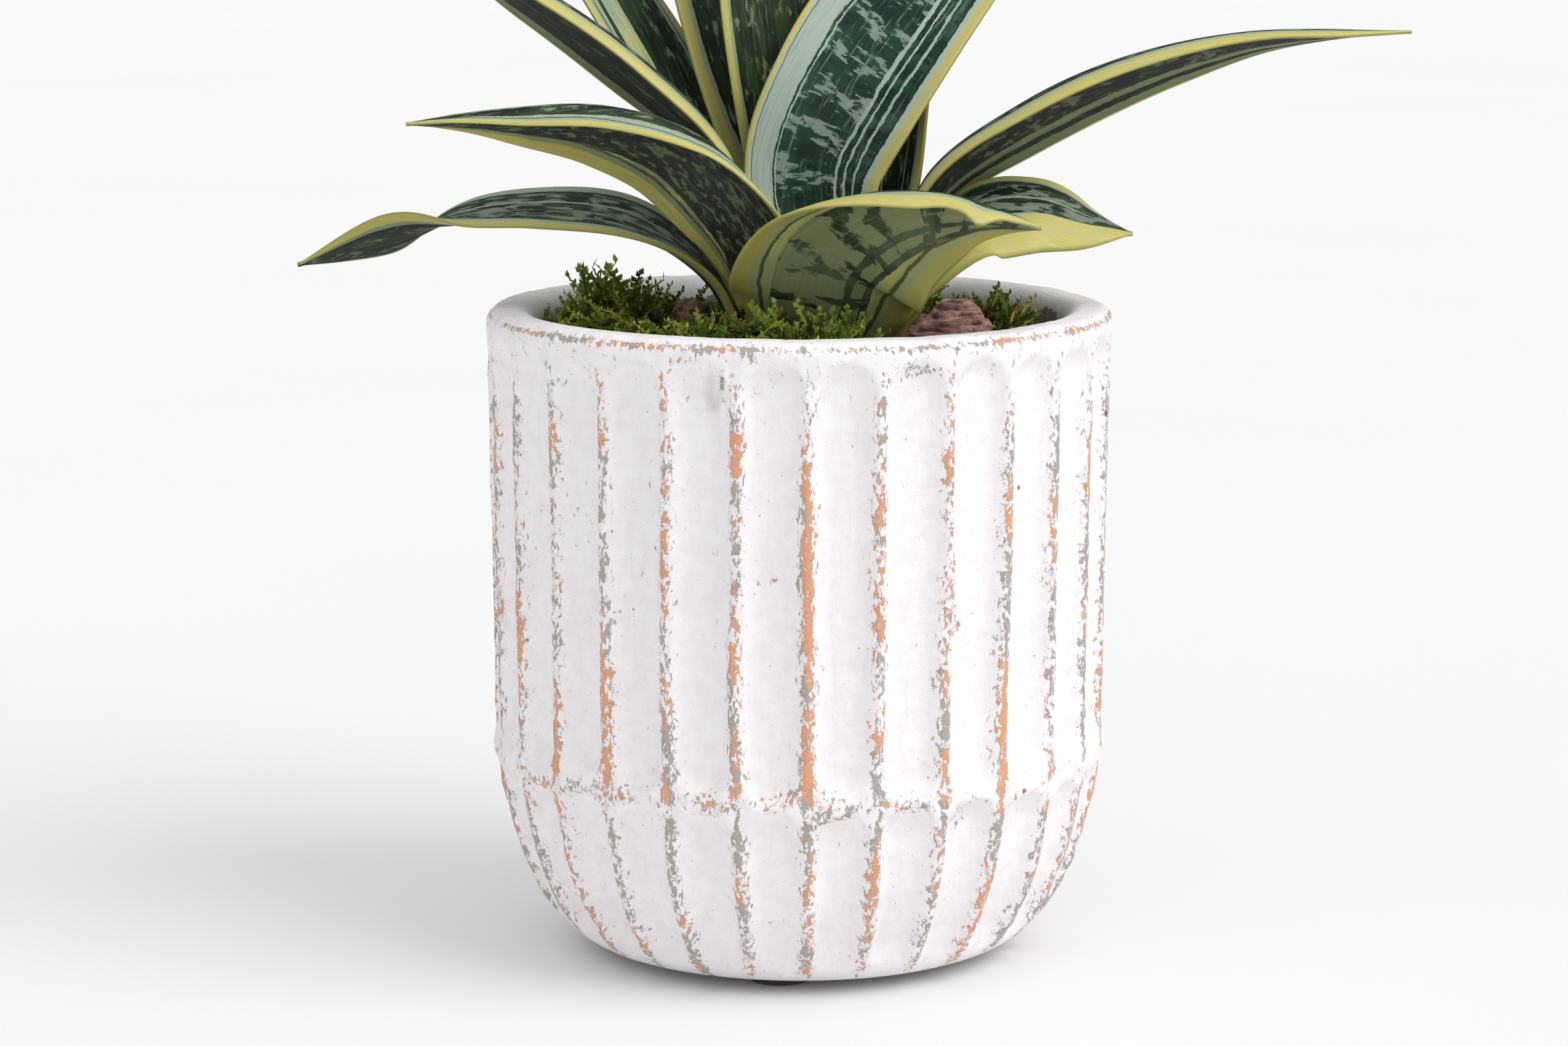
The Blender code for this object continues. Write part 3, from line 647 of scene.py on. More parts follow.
def lumps(centres, sizes, seed):
    """A crumb at each centre: a ball of three rings of six points, each point pushed out or in at random."""
    rng = np.random.default_rng(seed)
    lat = np.radians([-50.0, 0.0, 50.0])[:, None]
    lon = np.arange(6)[None] / 6 * TAU + 0.4 * np.sin(lat * 3)
    ball = stack(np.cos(lat) * np.cos(lon), np.cos(lat) * np.sin(lon), np.sin(lat))
    parts = []
    for centre, size in zip(centres, sizes):
        stretch = rng.uniform(0.6, 1.3, 3) * size
        parts.append(closed_rings(centre + ball * stretch * rng.uniform(0.75, 1.25, (3, 6, 1))))
    return joined(parts)


def make_soil(material):
    """The potting soil: rings that open from the rhizome's socket to the pot's wall, lumpy with noise at
    7 and 2 mm on top, then down the wall to the floor. Crumbs of soil and bark fines lie on it.
    """
    turn = np.arange(SOIL_COLUMNS) / SOIL_COLUMNS * TAU
    wheel = around(AXIS, 1.0, turn)
    socket = (RHIZOME_HIGH[0] - RHIZOME_LOW[0]) / 2 + GAP
    wall = inner_radius(SOIL_Z) - GAP
    low = RHIZOME_LOW[2] - GAP
    rings = [CROWN * [1, 1, 0] + wheel * socket + [0, 0, z] for z in (low, SOIL_Z - 0.5)]
    for share in np.linspace(0.02, 0.995, SOIL_RINGS):
        ring = CROWN * [1, 1, 0] * (1 - share) + wheel * (socket + (wall - socket) * share)
        rise = 0.9 * noise(ring, 7.0, 31, 2) + 0.7 * noise(ring, 2.0, 32, 2)
        rings.append(ring + [0, 0, SOIL_Z] + stack(0, 0, rise * ease(share, 0.0, 0.1)))
    corner_z = POT_BASE_Z + FLOOR + INNER_CORNER
    rings.append(wheel * (inner_radius(corner_z) - GAP) + [0, 0, corner_z])
    for tilt in np.radians([30, 60, 90]):
        radius = inner_radius(corner_z) - GAP - INNER_CORNER * (1 - math.cos(tilt))
        rings.append(wheel * radius + [0, 0, corner_z - INNER_CORNER * math.sin(tilt) + GAP])
    rng = np.random.default_rng(5)
    angle = rng.uniform(0, TAU, CRUMBS)
    away = rng.uniform(0, 1, CRUMBS) ** 0.6
    near, far = socket + 0.5, reach(angle) - 2.2
    radius = near + (far - near) * away
    sizes = rng.uniform(0.4, 1.5, CRUMBS) ** 1.3
    centres = around(CROWN, radius, angle, SOIL_Z + sizes * 0.5)
    points, faces = joined([closed_rings(np.array(rings)[::-1]), lumps(centres, sizes, 6)])
    add_piece("potting_soil", points, faces, material, ["soil"])


def soil_material():
    """Dark, damp peat with paler fibres and fines."""
    material, s, _, grit = gritty("soil", 0.6)
    shade = s.mix(grit["Grain"], "1d140e", "4a3424")
    shade = s.mix(s.ease(grit["Blotch"], 0.5, 0.75), shade, "5d4a33")
    shade = s.mix(grit["Speck"], shade, "8d7452")
    s.grained(shade, grit["Grain"], 0.8, 1.0, 0.6)
    return material


# Bark: direction from the crown, distance from it (or inwards from the pot's wall where negative),
# length, width, thickness and the chip's own turn
BARK_CHIPS = {
    "bark_chip_front": (312.5, -12.2, 18, 10, 13.5, 8),
    "bark_chip_left": (160, 29.5, 17, 9.5, 9.5, 70),
    "bark_chip_right": (25, -15.9, 14, 8, 6.5, 20),
}


def make_bark_chip(node, seed, material):
    """A torn flake: flattened superelliptic sections along a slightly bent axis, narrower to both ends,
    with layers that step in and out across its thickness and splintered ends.
    """
    direction, distance, length, width, thick, turn = BARK_CHIPS[node]
    t = np.linspace(-1, 1, 64)[:, None]
    way = np.arange(72)[None] / 72 * TAU
    offset = seed * 57.0
    taper = (1 - np.abs(t) ** 2.6) ** 0.6 * (1 + 0.25 * noise(stack(t * 6 + offset, 0, 0), 2.0, seed))
    side = np.sign(np.cos(way)) * np.abs(np.cos(way)) ** 0.8 * taper
    lift = np.sign(np.sin(way)) * np.abs(np.sin(way)) ** 0.9 * taper ** 0.8
    x = t * length / 2 + 0 * side
    y = side * width / 2 + 0.09 * width * np.sin(2.2 * t)
    z = lift * thick / 2 * (1 - 0.25 * side ** 2) + 0.10 * thick * np.cos(2.5 * t)
    place = stack(x, y, z) + offset
    layers = np.sin(z * 4.2 + 2.2 * noise(place, 4.0, seed)) * 0.22
    fissure = noise(place * [0.28, 1.0, 1.4], 1.5, seed + 1, 2)
    swell = layers + 0.75 * fissure + 0.35 * noise(place, 1.1, seed + 2)
    x = x + 1.3 * noise(place * [0, 1, 1], 1.1, seed + 3) * ease(np.abs(t), 0.6, 1.0) * np.sign(t)
    y, z = y + swell * side * 0.8, z + swell * lift
    z = z - z.min()
    angle = math.radians(direction)
    far = distance if distance > 0 else distance + reach(angle)
    foot = around(CROWN, far, angle, SOIL_Z + GAP)
    points, faces = closed_rings(foot + spun(x, y, z, math.radians(turn)))
    # the swell, kept as "depth", lets the material paint shade into the hollows
    add_piece(node + "_flake", points, faces, material, [node],
              {"depth": ring_values(swell)}, crease=50.0)


def bark_material():
    """Pine bark: mauve-brown cork in thin layers, pale where it broke, with painted shade in its hollows."""
    material, s, place, grit = gritty("bark", 0.45)
    layer = s.noise(s.stretched(place, 0.5, 0.5, 3.0), 1.6, 5.0, 0.65, 0.8)
    shade = s.mix(s.ease(layer, 0.3, 0.7), "8a5f56", "c39f95")
    # painted shade: darker where the swell is low, in the hollows
    shade = s.mix(s.ease(s.attribute("depth"), 0.1, -0.5), shade, "3a211c", 0.8)
    shade = s.mix(s.ease(grit["Grain"], 0.55, 0.8), shade, "d0aea0", 0.6)
    normal = s.bump(layer, 0.5, s.bump(grit["Grain"], 0.3))
    s.surface(shade, s.ease(layer, 0.2, 0.8, 0.75, 0.95), normal, Specular_IOR_Level=0.3)
    return material


def make_twigs(material):
    """Loose twigs, stalks and one red splinter: thin tapered tubes along slightly bent lines."""
    rng = np.random.default_rng(12)
    parts = []
    for _ in range(TWIGS):
        angle, length = rng.uniform(0, TAU), rng.uniform(4, 13)
        far = rng.uniform(22, reach(angle) - 4)
        heading, pitch = rng.uniform(0, TAU), rng.uniform(-0.1, 0.35)
        along = np.linspace(-0.5, 0.5, 7)
        bend = rng.uniform(-0.25, 0.25) * length * along ** 2
        foot = around(CROWN, far, angle, SOIL_Z + rng.uniform(1, 6))
        path = foot + spun(along * length, bend, (along + 0.5) * length * pitch, heading)
        reached = np.hypot(path[:, 0], path[:, 1]).max()
        if reached < inner_radius(SOIL_Z) - 1:
            parts.append(tube(path, rng.uniform(0.22, 0.5) * np.linspace(1, 0.55, 7), 6))
    points, faces = joined(parts)
    add_piece("twigs", points, faces, material)
    splinter = CROWN + [6.0, -44.0, 9.0] + stack(np.linspace(-2.6, 2.4, 6), 0, np.linspace(-0.6, 1.1, 6))
    points, faces = tube(splinter, [0.25, 0.45, 0.5, 0.42, 0.3, 0.1], 8)
    add_piece("red_splinter", points, faces, splinter_material())


def twig_material():
    """Dry stalks, brown to straw."""
    material, s, place, grit = gritty("twig", 0.3)
    kind = s.noise(place, 16.0, 1.0)
    shade = s.mix(s.ease(kind, 0.35, 0.65), "4b3424", "8c7648")
    shade = s.mix(grit["Grain"], shade, "2c1d14", 0.4)
    s.grained(shade, grit["Grain"], 0.7, 0.9, 0.12)
    return material


def splinter_material():
    """A fresh, red-brown sliver of wood."""
    material, s, _, grit = gritty("splinter", 0.3)
    shade = s.mix(grit["Grain"], "7d2f16", "c4572c")
    s.grained(shade, grit["Grain"], 0.55, 0.75, 0.1)
    return material


def rhizome_material():
    """The cut-off stem under the moss: tan, ringed with old leaf scars."""
    material, s, _, grit = gritty("rhizome", 0.7)
    shade = s.mix(grit["Blotch"], "6c5a34", "a39257")
    shade = s.mix(grit["Grain"], shade, "4b3a22")
    s.grained(shade, grit["Grain"], 0.7, 0.9, 0.4)
    return material


# ---------------------------------------------------------------- leaves

LEAF_THICKNESS = 1.5
MARGIN_THICKNESS = 0.7
FULL_THICKNESS_HALF_WIDTH = 4.0
NEARLY_FLAT = 0.001
BASE_WIDTH = 0.45         # of the blade's greatest width, where the leaf doesn't say
TIP_HALF_WIDTH = 0.5
RING_RADII = (4.8, 8.7, 12.6, 16.6)   # leaf bases stand in four rings, innermost first
SECTION_POINTS = 35       # across one side of a blade

# A leaf is a blade carried along its midrib. Each station is
# (x, y, height, roll, right cup, left cup): the midrib's place from the crown's axis at the soil, in
# millimetres, the blade's turn about the midrib, and how far each half of its section bends, in degrees.
# Left and right are those of someone who looks out along the leaf from the crown.
# A positive roll lifts the left margin; a positive cup lifts its own margin, a negative one drops it.
# The base's station comes from the leaf's ring and its direction there.
LEAVES = {
    "leaf_low_left": dict(
        ring=3, base=188, heading=180, half_width=11.5, widest=0.36, stations=(
            (-23.5, -2.5, 17, 0, 20, 20),
            (-40, 0, 28.5, -14, 10, 10),
            (-60, 1, 31, -18, 5, 5),
            (-77, 0.5, 29.5, -6, 10, 10),
            (-92, -0.5, 25.5, 60, 20, 20),
            (-109.8, 3, 19.7, 60, 0, 0),
        )),
    "leaf_front": dict(
        ring=3, base=262, heading=340, half_width=20.5, widest=0.40, base_width=0.66, stations=(
            (-1, -23, 12.5, -74, 5, 25),
            (2, -29, 24, -72, -55, 5),
            (12.5, -34, 32.5, -64, -95, -10),
            (27.5, -38, 35, -52, -95, -10),
            (43, -40, 31.5, -30, -30, 0),
        )),
    "leaf_low_right": dict(
        ring=3, base=335, heading=350, half_width=12, widest=0.5, stations=(
            (21, -7, 15, 15, 10, 10),
            (31, -5, 29, 42, -8, -8),
            (43, -4.5, 31.5, 46, -12, -12),
            (55, -3, 28.5, 40, -8, -8),
            (64.2, -0.5, 26.5, 20, 0, 0),
        )),
    "leaf_back_right": dict(
        ring=3, base=35, heading=40, half_width=11, widest=0.45, stations=(
            (18, 13.5, 12, 0, 20, 20),
            (29, 24, 24, 0, 10, 10),
            (43, 38, 29, 0, 8, 8),
            (58, 54, 22, 0, 0, 0),
        )),
    "leaf_back_low": dict(
        ring=3, base=125, heading=115, half_width=12, widest=0.45, stations=(
            (-14, 20, 15, 10, 22, 22),
            (-20, 33, 30, 0, 18, 18),
            (-27, 49, 38, 0, 12, 12),
            (-33, 67, 35, 0, 0, 0),
        )),
    "leaf_back_upright": dict(
        ring=3, base=80, heading=78, half_width=12, widest=0.45, stations=(
            (5.2, 23.8, 26, 0, 26, 26),
            (6, 33, 58, 0, 22, 22),
            (7, 46, 90, 0, 16, 16),
            (10, 66, 112, 0, 0, 0),
        )),
    "leaf_mid_left": dict(
        ring=2, base=224, heading=190, half_width=15, widest=0.42, stations=(
            (-11, -14.5, 14, 40, 15, 15),
            (-16, -18.5, 31, 44, -15, -45),
            (-28, -18.5, 46, 46, -35, -95),
            (-45, -20.5, 52.5, 42, -45, -105),
            (-64, -24, 53, 34, -40, -95),
            (-84, -28, 51.3, 14, -20, -20),
        )),
    "leaf_long_right": dict(
        ring=2, base=5, heading=0, half_width=11.5, widest=0.42, stations=(
            (17, 2.5, 18, -10, 10, 10),
            (22.5, 2, 37, -30, -50, -25),
            (41, 0, 51.5, -36, -80, -45),
            (61, -1, 61, -36, -85, -50),
            (86, -1, 67, -26, -65, -40),
            (121.2, -1, 68.3, 0, 0, 0),
        )),
    "leaf_inner_back": dict(
        ring=2, base=55, heading=58, half_width=9, widest=0.45, stations=(
            (10.5, 15.5, 32, 0, 30, 30),
            (15, 25, 72, 0, 24, 24),
            (22, 40, 122, 0, 0, 0),
        )),
    "leaf_back_left": dict(
        ring=2, base=168, heading=155, half_width=13, widest=0.45, stations=(
            (-22, 7, 24, -6, 26, 26),
            (-31, 15.8, 50, -10, 24, 24),
            (-42, 19, 71, -12, 20, 20),
            (-62, 30, 98, -10, 12, 12),
            (-90, 44, 112, 0, 0, 0),
        )),
    "leaf_inner_left": dict(
        ring=2, base=114, heading=120, half_width=12, widest=0.5, stations=(
            (-6.5, 19.5, 26, 0, 28, 28),
            (-16.5, 20.5, 50, 8, 26, 26),
            (-25.5, 23, 78, 12, 22, 22),
            (-35, 32, 132, 0, 0, 0),
        )),
    "leaf_high_left": dict(
        ring=1, base=195, heading=178, half_width=10.5, widest=0.4, stations=(
            (-14, -4.5, 24, 14, 10, 10),
            (-22, -4.5, 45, 30, -20, -50),
            (-38, -4.5, 61.5, 34, -35, -75),
            (-60, -5, 77, 30, -35, -70),
            (-93, -4, 93, 12, -20, -40),
            (-131.2, -2, 100, 0, 0, 0),
        )),
    "leaf_centre": dict(
        ring=1, base=97, heading=100, half_width=13, widest=0.5, stations=(
            (-4, 10.5, 24, 0, 28, 28),
            (-7, 12, 50, 0, 22, 22),
            (-10, 13, 80, 0, 20, 20),
            (-14, 18, 150, 0, 0, 0),
        )),
    "leaf_inner_right": dict(
        ring=1, base=22, heading=45, half_width=9, widest=0.45, stations=(
            (14, 7.8, 30, 0, 30, 30),
            (20, 14, 70, 0, 26, 26),
            (36, 25, 116, 0, 0, 0),
        )),
    "leaf_broad": dict(
        ring=0, base=60, heading=85, half_width=17, widest=0.4, stations=(
            (0, 2, 20, 0, 45, 45),
            (-2, 2.5, 40, 0, 32, 32),
            (5, 3, 56, 0, 28, 28),
            (14.5, 5, 70, 0, 26, 26),
            (33, 12, 92, 0, 22, 22),
            (58, 20, 112, 0, 15, 15),
            (86, 26, 122, 0, 0, 0),
        )),
    "leaf_spear": dict(
        ring=0, base=270, heading=270, half_width=5, widest=0.4, stations=(
            (0, -6.5, 11, 0, 40, 40),
            (0.5, -8.5, 21, 0, 30, 30),
            (1, -10.5, 31, 0, 0, 0),
        )),
}

# How each leaf is marked: the widths of its right and left yellow margins, and the stripes of its upper
# side and underside, each a list of (where the stripe ends, what it is). Places run across the blade
# from 0 at the right margin to 1 at the left. Kinds are g, mottled ground; d, dark; p, pale; y, pale
# washed with yellow. Mottles are (size across, size along, how many, how banded). A crimp is (share of
# the length, how long, how high, -1 for the right margin or 1 for the left). Grounds and pales are
# colours, a ground with its darker shade.
PLAIN_UPPER = ((0.10, "p"), (0.14, "d"), (0.30, "g"), (0.33, "p"), (0.66, "g"), (0.69, "p"), (0.84, "g"),
               (0.88, "d"), (1.0, "p"))
PLAIN_UNDER = ((0.10, "p"), (0.20, "d"), (0.78, "g"), (0.84, "p"), (0.90, "d"), (1.0, "p"))
PLAIN_MARGINS = (1.8, 1.8)
CROSS_MOTTLES = (4.0, 1.5, 0.47, 1.5)
LONG_MOTTLES = (1.3, 5.0, 0.45, 0.3)
MARKINGS = {
    "leaf_broad": dict(
        margins=(2.6, 1.0), seed=1, upper_mottles=CROSS_MOTTLES,
        upper_ground=("1c4b31", "133224"), upper_pale="b3c5b7",
        upper=((0.09, "y"), (0.195, "d"), (0.21, "p"), (0.265, "d"), (0.28, "p"), (0.32, "d"), (0.34, "p"),
               (0.765, "g"), (0.775, "p"), (0.79, "d"), (0.97, "p"), (1.0, "y"))),
    "leaf_centre": dict(margins=(1.0, 1.6), seed=2, upper_mottles=(1.6, 5.5, 0.44, 0.4),
                        upper_ground=("39512b", "1d2f1c"), upper_pale="9cab86",
                        upper=((0.06, "p"), (0.10, "d"), (0.92, "g"), (0.95, "d"), (1.0, "p"))),
    "leaf_inner_left": dict(margins=(1.6, 4.2), seed=3, upper_mottles=(1.4, 5.0, 0.43, 0.3),
                            upper=((0.14, "d"), (0.72, "g"), (0.76, "d"), (1.0, "p"))),
    "leaf_back_left": dict(margins=(1.2, 2.2), seed=4, upper_mottles=LONG_MOTTLES,
                           upper=((0.10, "p"), (0.30, "g"), (0.52, "d"), (0.74, "y"), (0.80, "d"),
                                  (1.0, "p"))),
    "leaf_high_left": dict(margins=(0.3, 2.4), seed=5, under_mottles=(1.2, 7.0, 0.42, 0.0)),
    # Its underside's ground is darker still: painted shade, for the underside below its rolled-over margin.
    "leaf_mid_left": dict(margins=(2.8, 1.2), seed=6, under_mottles=(1.3, 3.6, 0.50, 0.2),
                          under_ground=("1a2a19", "0f170f"),
                          under=((0.18, "y"), (0.22, "d"), (0.88, "g"), (0.92, "d"), (1.0, "p"))),
    "leaf_low_left": dict(margins=(0.3, 3.2), seed=7, upper_mottles=(1.6, 6.0, 0.52, 0.2)),
    "leaf_long_right": dict(margins=(2.6, 0.3), seed=8, under_mottles=(2.0, 5.0, 0.46, 0.4)),
    "leaf_front": dict(
        margins=(4.2, 5.0), seed=9, under_mottles=(9.0, 2.6, 0.60, 2.2), under_ground=("4d6044", "1f2d1c"),
        under_pale="a0a876", under_blush="b9b96a", crimps=((0.84, 0.03, -2.6, -1.0), (0.75, 0.05, 1.4, -1.0)),
        under=((0.20, "y"), (0.215, "p"), (0.60, "g"), (0.64, "d"), (0.70, "g"), (0.74, "d"), (1.0, "y"))),
    "leaf_low_right": dict(margins=(9.5, 1.6), seed=10, upper_mottles=(1.8, 6.0, 0.52, 0.2)),
    "leaf_spear": dict(margins=(0.2, 0.2), upper=((1.0, "d"),), under=((1.0, "d"),)),
}


def leaf_stations(leaf):
    """The leaf's stations with its base in front, where the blade wraps the crown in its ring."""
    radius = RING_RADII[leaf["ring"]]
    a = math.radians(leaf["base"])
    wrap = math.degrees(leaf["half_width"] * leaf.get("base_width", BASE_WIDTH) / radius)
    base = (radius * math.cos(a), radius * math.sin(a), GAP, leaf["base"] - leaf["heading"], wrap, wrap)
    return np.array([base, *leaf["stations"]])


def blade_width(share, widest, base_width):
    """Width at a share of the length, over the greatest width: a quarter sine up to the widest place,
    then (1 - fall^1.7)^0.9 down to the tip.
    """
    rise = base_width + (1 - base_width) * np.sin(np.minimum(share / widest, 1) * math.pi / 2)
    fall = np.clip((share - widest) / (1 - widest), 0, 1)
    return np.where(share < widest, rise, (1 - fall ** 1.7) ** 0.9)


def smooth_through(points):
    """A close-set line on the centripetal Catmull-Rom curve through the given rows."""
    ends = np.vstack([2 * points[0] - points[1], points, 2 * points[-1] - points[-2]])
    steps = np.sqrt(np.linalg.norm(np.diff(ends[:, :3], axis=0), axis=1))
    knots = np.concatenate([[0.0], np.cumsum(steps)])
    line = []
    for k in range(1, len(points)):
        t0, t1, t2, t3 = knots[k - 1:k + 3]
        p0, p1, p2, p3 = ends[k - 1:k + 3]
        t = np.linspace(t1, t2, 24, endpoint=k == len(points) - 1)[:, None]
        a1 = ((t1 - t) * p0 + (t - t0) * p1) / (t1 - t0)
        a2 = ((t2 - t) * p1 + (t - t1) * p2) / (t2 - t1)
        a3 = ((t3 - t) * p2 + (t - t2) * p3) / (t3 - t2)
        b1 = ((t2 - t) * a1 + (t - t0) * a2) / (t2 - t0)
        b2 = ((t3 - t) * a2 + (t - t1) * a3) / (t3 - t1)
        line.append(((t2 - t) * b1 + (t - t1) * b2) / (t2 - t1))
    return np.concatenate(line)


def leaf_rows(leaf):
    """Rows a millimetre or so apart: the midrib's points, the blade's directions across and up, its half
    width, its two cups, and the distance from the base.
    """
    line = smooth_through(leaf_stations(leaf))
    along = run(line[:, :3])
    count = int(np.clip(along[-1] / 1.1, 50, 165))
    distance = np.linspace(0, along[-1], count)
    rows = np.stack([np.interp(distance, along, column) for column in line.T], axis=1)
    midrib, roll, cups = rows[:, :3], np.radians(rows[:, 3:4]), np.radians(rows[:, 4:6])
    tangent = unit(np.gradient(midrib, axis=0))
    heading = math.radians(leaf["heading"])
    side = np.array([-math.sin(heading), math.cos(heading), 0.0])
    side = unit(side - tangent * (tangent @ side)[:, None])
    upper = np.cross(tangent, side)
    across = side * np.cos(roll) + upper * np.sin(roll)
    up = np.cross(tangent, across)
    width = blade_width(distance / along[-1], leaf["widest"], leaf.get("base_width", BASE_WIDTH))
    half = np.maximum(leaf["half_width"] * width, TIP_HALF_WIDTH)
    return midrib, across, up, half, cups, distance


def wrapped(over, under):
    """Rings round a blade from its rows above and below, which run from the right margin to the left."""
    return np.concatenate([over[:, ::-1], under[:, 1:-1]], axis=1)


def make_leaf(name, leaf, marking):
    """A blade carried along its midrib. Half a section at share s of its width w is an arc of cup k:
    midrib + across w sin(ks)/k + up w (1 - cos(ks))/k. The skin stands off that arc by half the
    thickness and rounds off over the last 0.6 mm to the margin. The arc carries fine lengthwise ribs,
    one or two shallow folds, a wave that grows to the margins, and the marking's crimps.
    """
    midrib, across, up, half, cups, along = leaf_rows(leaf)
    seed = marking["seed"]
    u = np.linspace(-1, 1, SECTION_POINTS)
    share = 0.55 * u + 0.45 * np.sin(u * math.pi / 2)
    cup = np.where(share < 0, cups[:, :1], cups[:, 1:])
    cup = np.where(np.abs(cup) < NEARLY_FLAT, NEARLY_FLAT, cup)
    side = np.sign(share)
    turn = cup * np.abs(share)
    w = half[:, None]
    spread = (side * np.sin(turn) * w / cup)[..., None]
    rise = ((1 - np.cos(turn)) * w / cup)[..., None]
    middle = midrib[:, None] + spread * across[:, None] + rise * up[:, None]
    outward = np.cos(turn)[..., None] * up[:, None] - (side * np.sin(turn))[..., None] * across[:, None]

    body = (LEAF_THICKNESS - MARGIN_THICKNESS) * np.minimum(w / FULL_THICKNESS_HALF_WIDTH, 1.0)
    thickness = MARGIN_THICKNESS + body * (1 - share ** 2)
    inset = (1 - np.abs(share)) * w
    rounded = np.clip(inset / np.minimum(0.6, w / 2), 0, 1)
    thickness = thickness * np.sqrt(1 - (1 - rounded) ** 2)
    span = share * w
    ribs = 0.07 * noise(stack(span, along[:, None] / 60, seed * 9.0), 1.1, 41)
    ribs += 0.16 * noise(stack(span, along[:, None] / 12, seed * 7.0), 4.0, 42)
    for fold_at in (-0.36, 0.30) if seed % 2 else (0.42,):
        ribs -= 0.30 * bell(share - fold_at, 0.045)
    settled = ease(along[:, None], 4, 22)
    wave = share ** 2 * noise(stack(side * 40, along[:, None], seed * 31.0), 19, 43) * 0.9
    lift = (ribs * np.minimum(w / 6, 1) + wave * settled * np.minimum(w / 8, 1))
    middle = middle + outward * lift[..., None]
    for place, spell, tall, margin in marking.get("crimps", ()):
        near = bell(along[:, None] / along[-1] - place, spell) * np.clip(share * margin, 0, 1) ** 3
        middle = middle + up[:, None] * (tall * near)[..., None]

    half_skin = outward * thickness[..., None] / 2
    rings = wrapped(middle + half_skin, middle - half_skin)
    rings[0, :, 2] = GAP
    margin_width = np.where(share < 0, marking["margins"][0], marking["margins"][1])
    margin_width = margin_width * np.minimum(w / (0.75 * half.max()), 1) + 0.1
    blade = stack(share, span, along[:, None])
    edge = stack(inset / margin_width, 1.0, w)
    points, faces = closed_rings(rings + CROWN)
    attributes = {"blade": ring_values(wrapped(blade, blade)),
                  "edge": ring_values(wrapped(edge, edge * [1, 0, 1]))}
    add_piece(name + "_blade", points, faces, leaf_material(name, marking), [name], attributes)
    return points


def build_blade_place(s, share, across, along, seed):
    """Where a point is on the blade for its pattern, and its share across with a wandering error."""
    place = s.combine(across, along, seed)
    slow = s.noise(s.stretched(place, 0.25, 0.07, 1.0), 1.0, 2.0)
    fine = s.noise(s.stretched(place, 1.2, 0.45, 1.0), 1.0, 4.0, 0.7)
    error = s.plus(s.times(s.minus(slow, 0.5), 0.05), s.times(s.minus(fine, 0.5), 0.03))
    return place, s.plus(s.math("MULTIPLY_ADD", share, 0.5, 0.5), error)


def build_variegation(s, place, edge, stripes, wide, tall, amount, banding,
                      ground, dark, pale, blush, margin):
    """One side of a blade: mottled ground, stripes from the masks (pale, dark, yellow), and the margin."""
    pale_mask, dark_mask, blush_mask = s.add("ShaderNodeSeparateColor", {0: stripes}).node.outputs
    across, along, seed = s.separate(place)
    cell = s.combine(s.math("DIVIDE", across, wide), s.math("DIVIDE", along, tall), seed)
    blots = s.noise(cell, 1.0, 6.0, 0.62, 0.35)
    sway = s.noise(s.stretched(place, 0.10, 0.05, 1.0), 1.0, 2.0)
    beat = s.math("SINE", s.plus(s.times(along, TAU / 8.5), s.times(sway, 9.0)))
    banded = s.plus(blots, s.times(s.times(beat, 0.055), banding))
    level = s.minus(1.04, amount)
    mottle = s.ease(s.minus(banded, level), -0.035, 0.035)
    hair = s.noise(s.combine(s.times(across, 2.2), s.times(along, 0.12), seed), 1.0, 4.0, 0.6)
    shade = s.mix(s.ease(s.noise(cell, 2.2, 3.0), 0.35, 0.65), ground, dark)
    shade = s.mix(s.ease(hair, 0.56, 0.70), shade, pale, 0.35)
    dull_pale = s.mix(hair, pale, ground, 0.7)
    shade = s.mix(mottle, shade, dull_pale, s.minus(0.85, s.times(dark_mask, 0.75)))
    blot = s.ease(s.noise(s.stretched(place, 0.30, 0.09, 1.0), 1.0, 4.0, 0.6), 0.42, 0.60)
    washed = s.mix(s.times(blush_mask, blot), pale, blush)
    streaked = s.mix(s.ease(hair, 0.52, 0.32), washed, ground, 0.22)
    shade = s.mix(pale_mask, shade, streaked)
    frayed = s.plus(edge, s.times(s.minus(blots, 0.5), 0.35))
    shade = s.mix(s.ease(frayed, 1.62, 1.52), shade, dark, 0.8)
    shade = s.mix(s.ease(frayed, 1.42, 1.32), shade, pale)
    ripe = s.mix(s.ease(hair, 0.35, 0.65), margin, s.mix(0.35, margin, pale))
    ripe = s.mix(s.ease(edge, 0.16, 0.02), ripe, s.mix(0.45, margin, ground))
    shade = s.mix(s.ease(frayed, 1.06, 0.88), shade, ripe)
    return shade, hair


BLADE_PLACE = new_effect(
    "blade place", [("Share", 0.0), ("Across", 0.0), ("Along", 0.0), ("Seed", 0.0)],
    [("Place", "NodeSocketVector"), ("Wandering share", "NodeSocketFloat")], build_blade_place)
VARIEGATION = new_effect(
    "variegation",
    [("Place", (0, 0, 0)), ("Edge", 1.0), ("Stripes", colour("000000")), ("Wide", 5.0), ("Tall", 2.0),
     ("Amount", 0.5), ("Banding", 1.0), ("Ground", colour("27452f")), ("Dark", colour("14241b")),
     ("Pale", colour("a9bfae")), ("Blush", colour("c9cb8c")), ("Margin", colour("dccd6c"))],
    [("Colour", "NodeSocketColor"), ("Ribs", "NodeSocketFloat")], build_variegation)
# The underside's ground, pale, blush and margin are darker than the upper side's: that darkening is painted
# shade, for undersides that lie in shade. The stripes and mottles are the leaf's print.
PLAIN_SIDES = {
    "under": dict(stripes=PLAIN_UNDER, ground=("1f2d1d", "111811"), pale="77825c", blush="a3a362",
                  margin="b4aa54"),
    "upper": dict(stripes=PLAIN_UPPER, ground=("2a4329", "15261a"), pale="a3b49b", blush="c7ca8e",
                  margin="d3c768"),
}
STRIPE_MASKS = {"g": (0, 0, 0, 1), "d": (0, 1, 0, 1), "p": (1, 0, 0, 1), "y": (1, 0, 1, 1)}


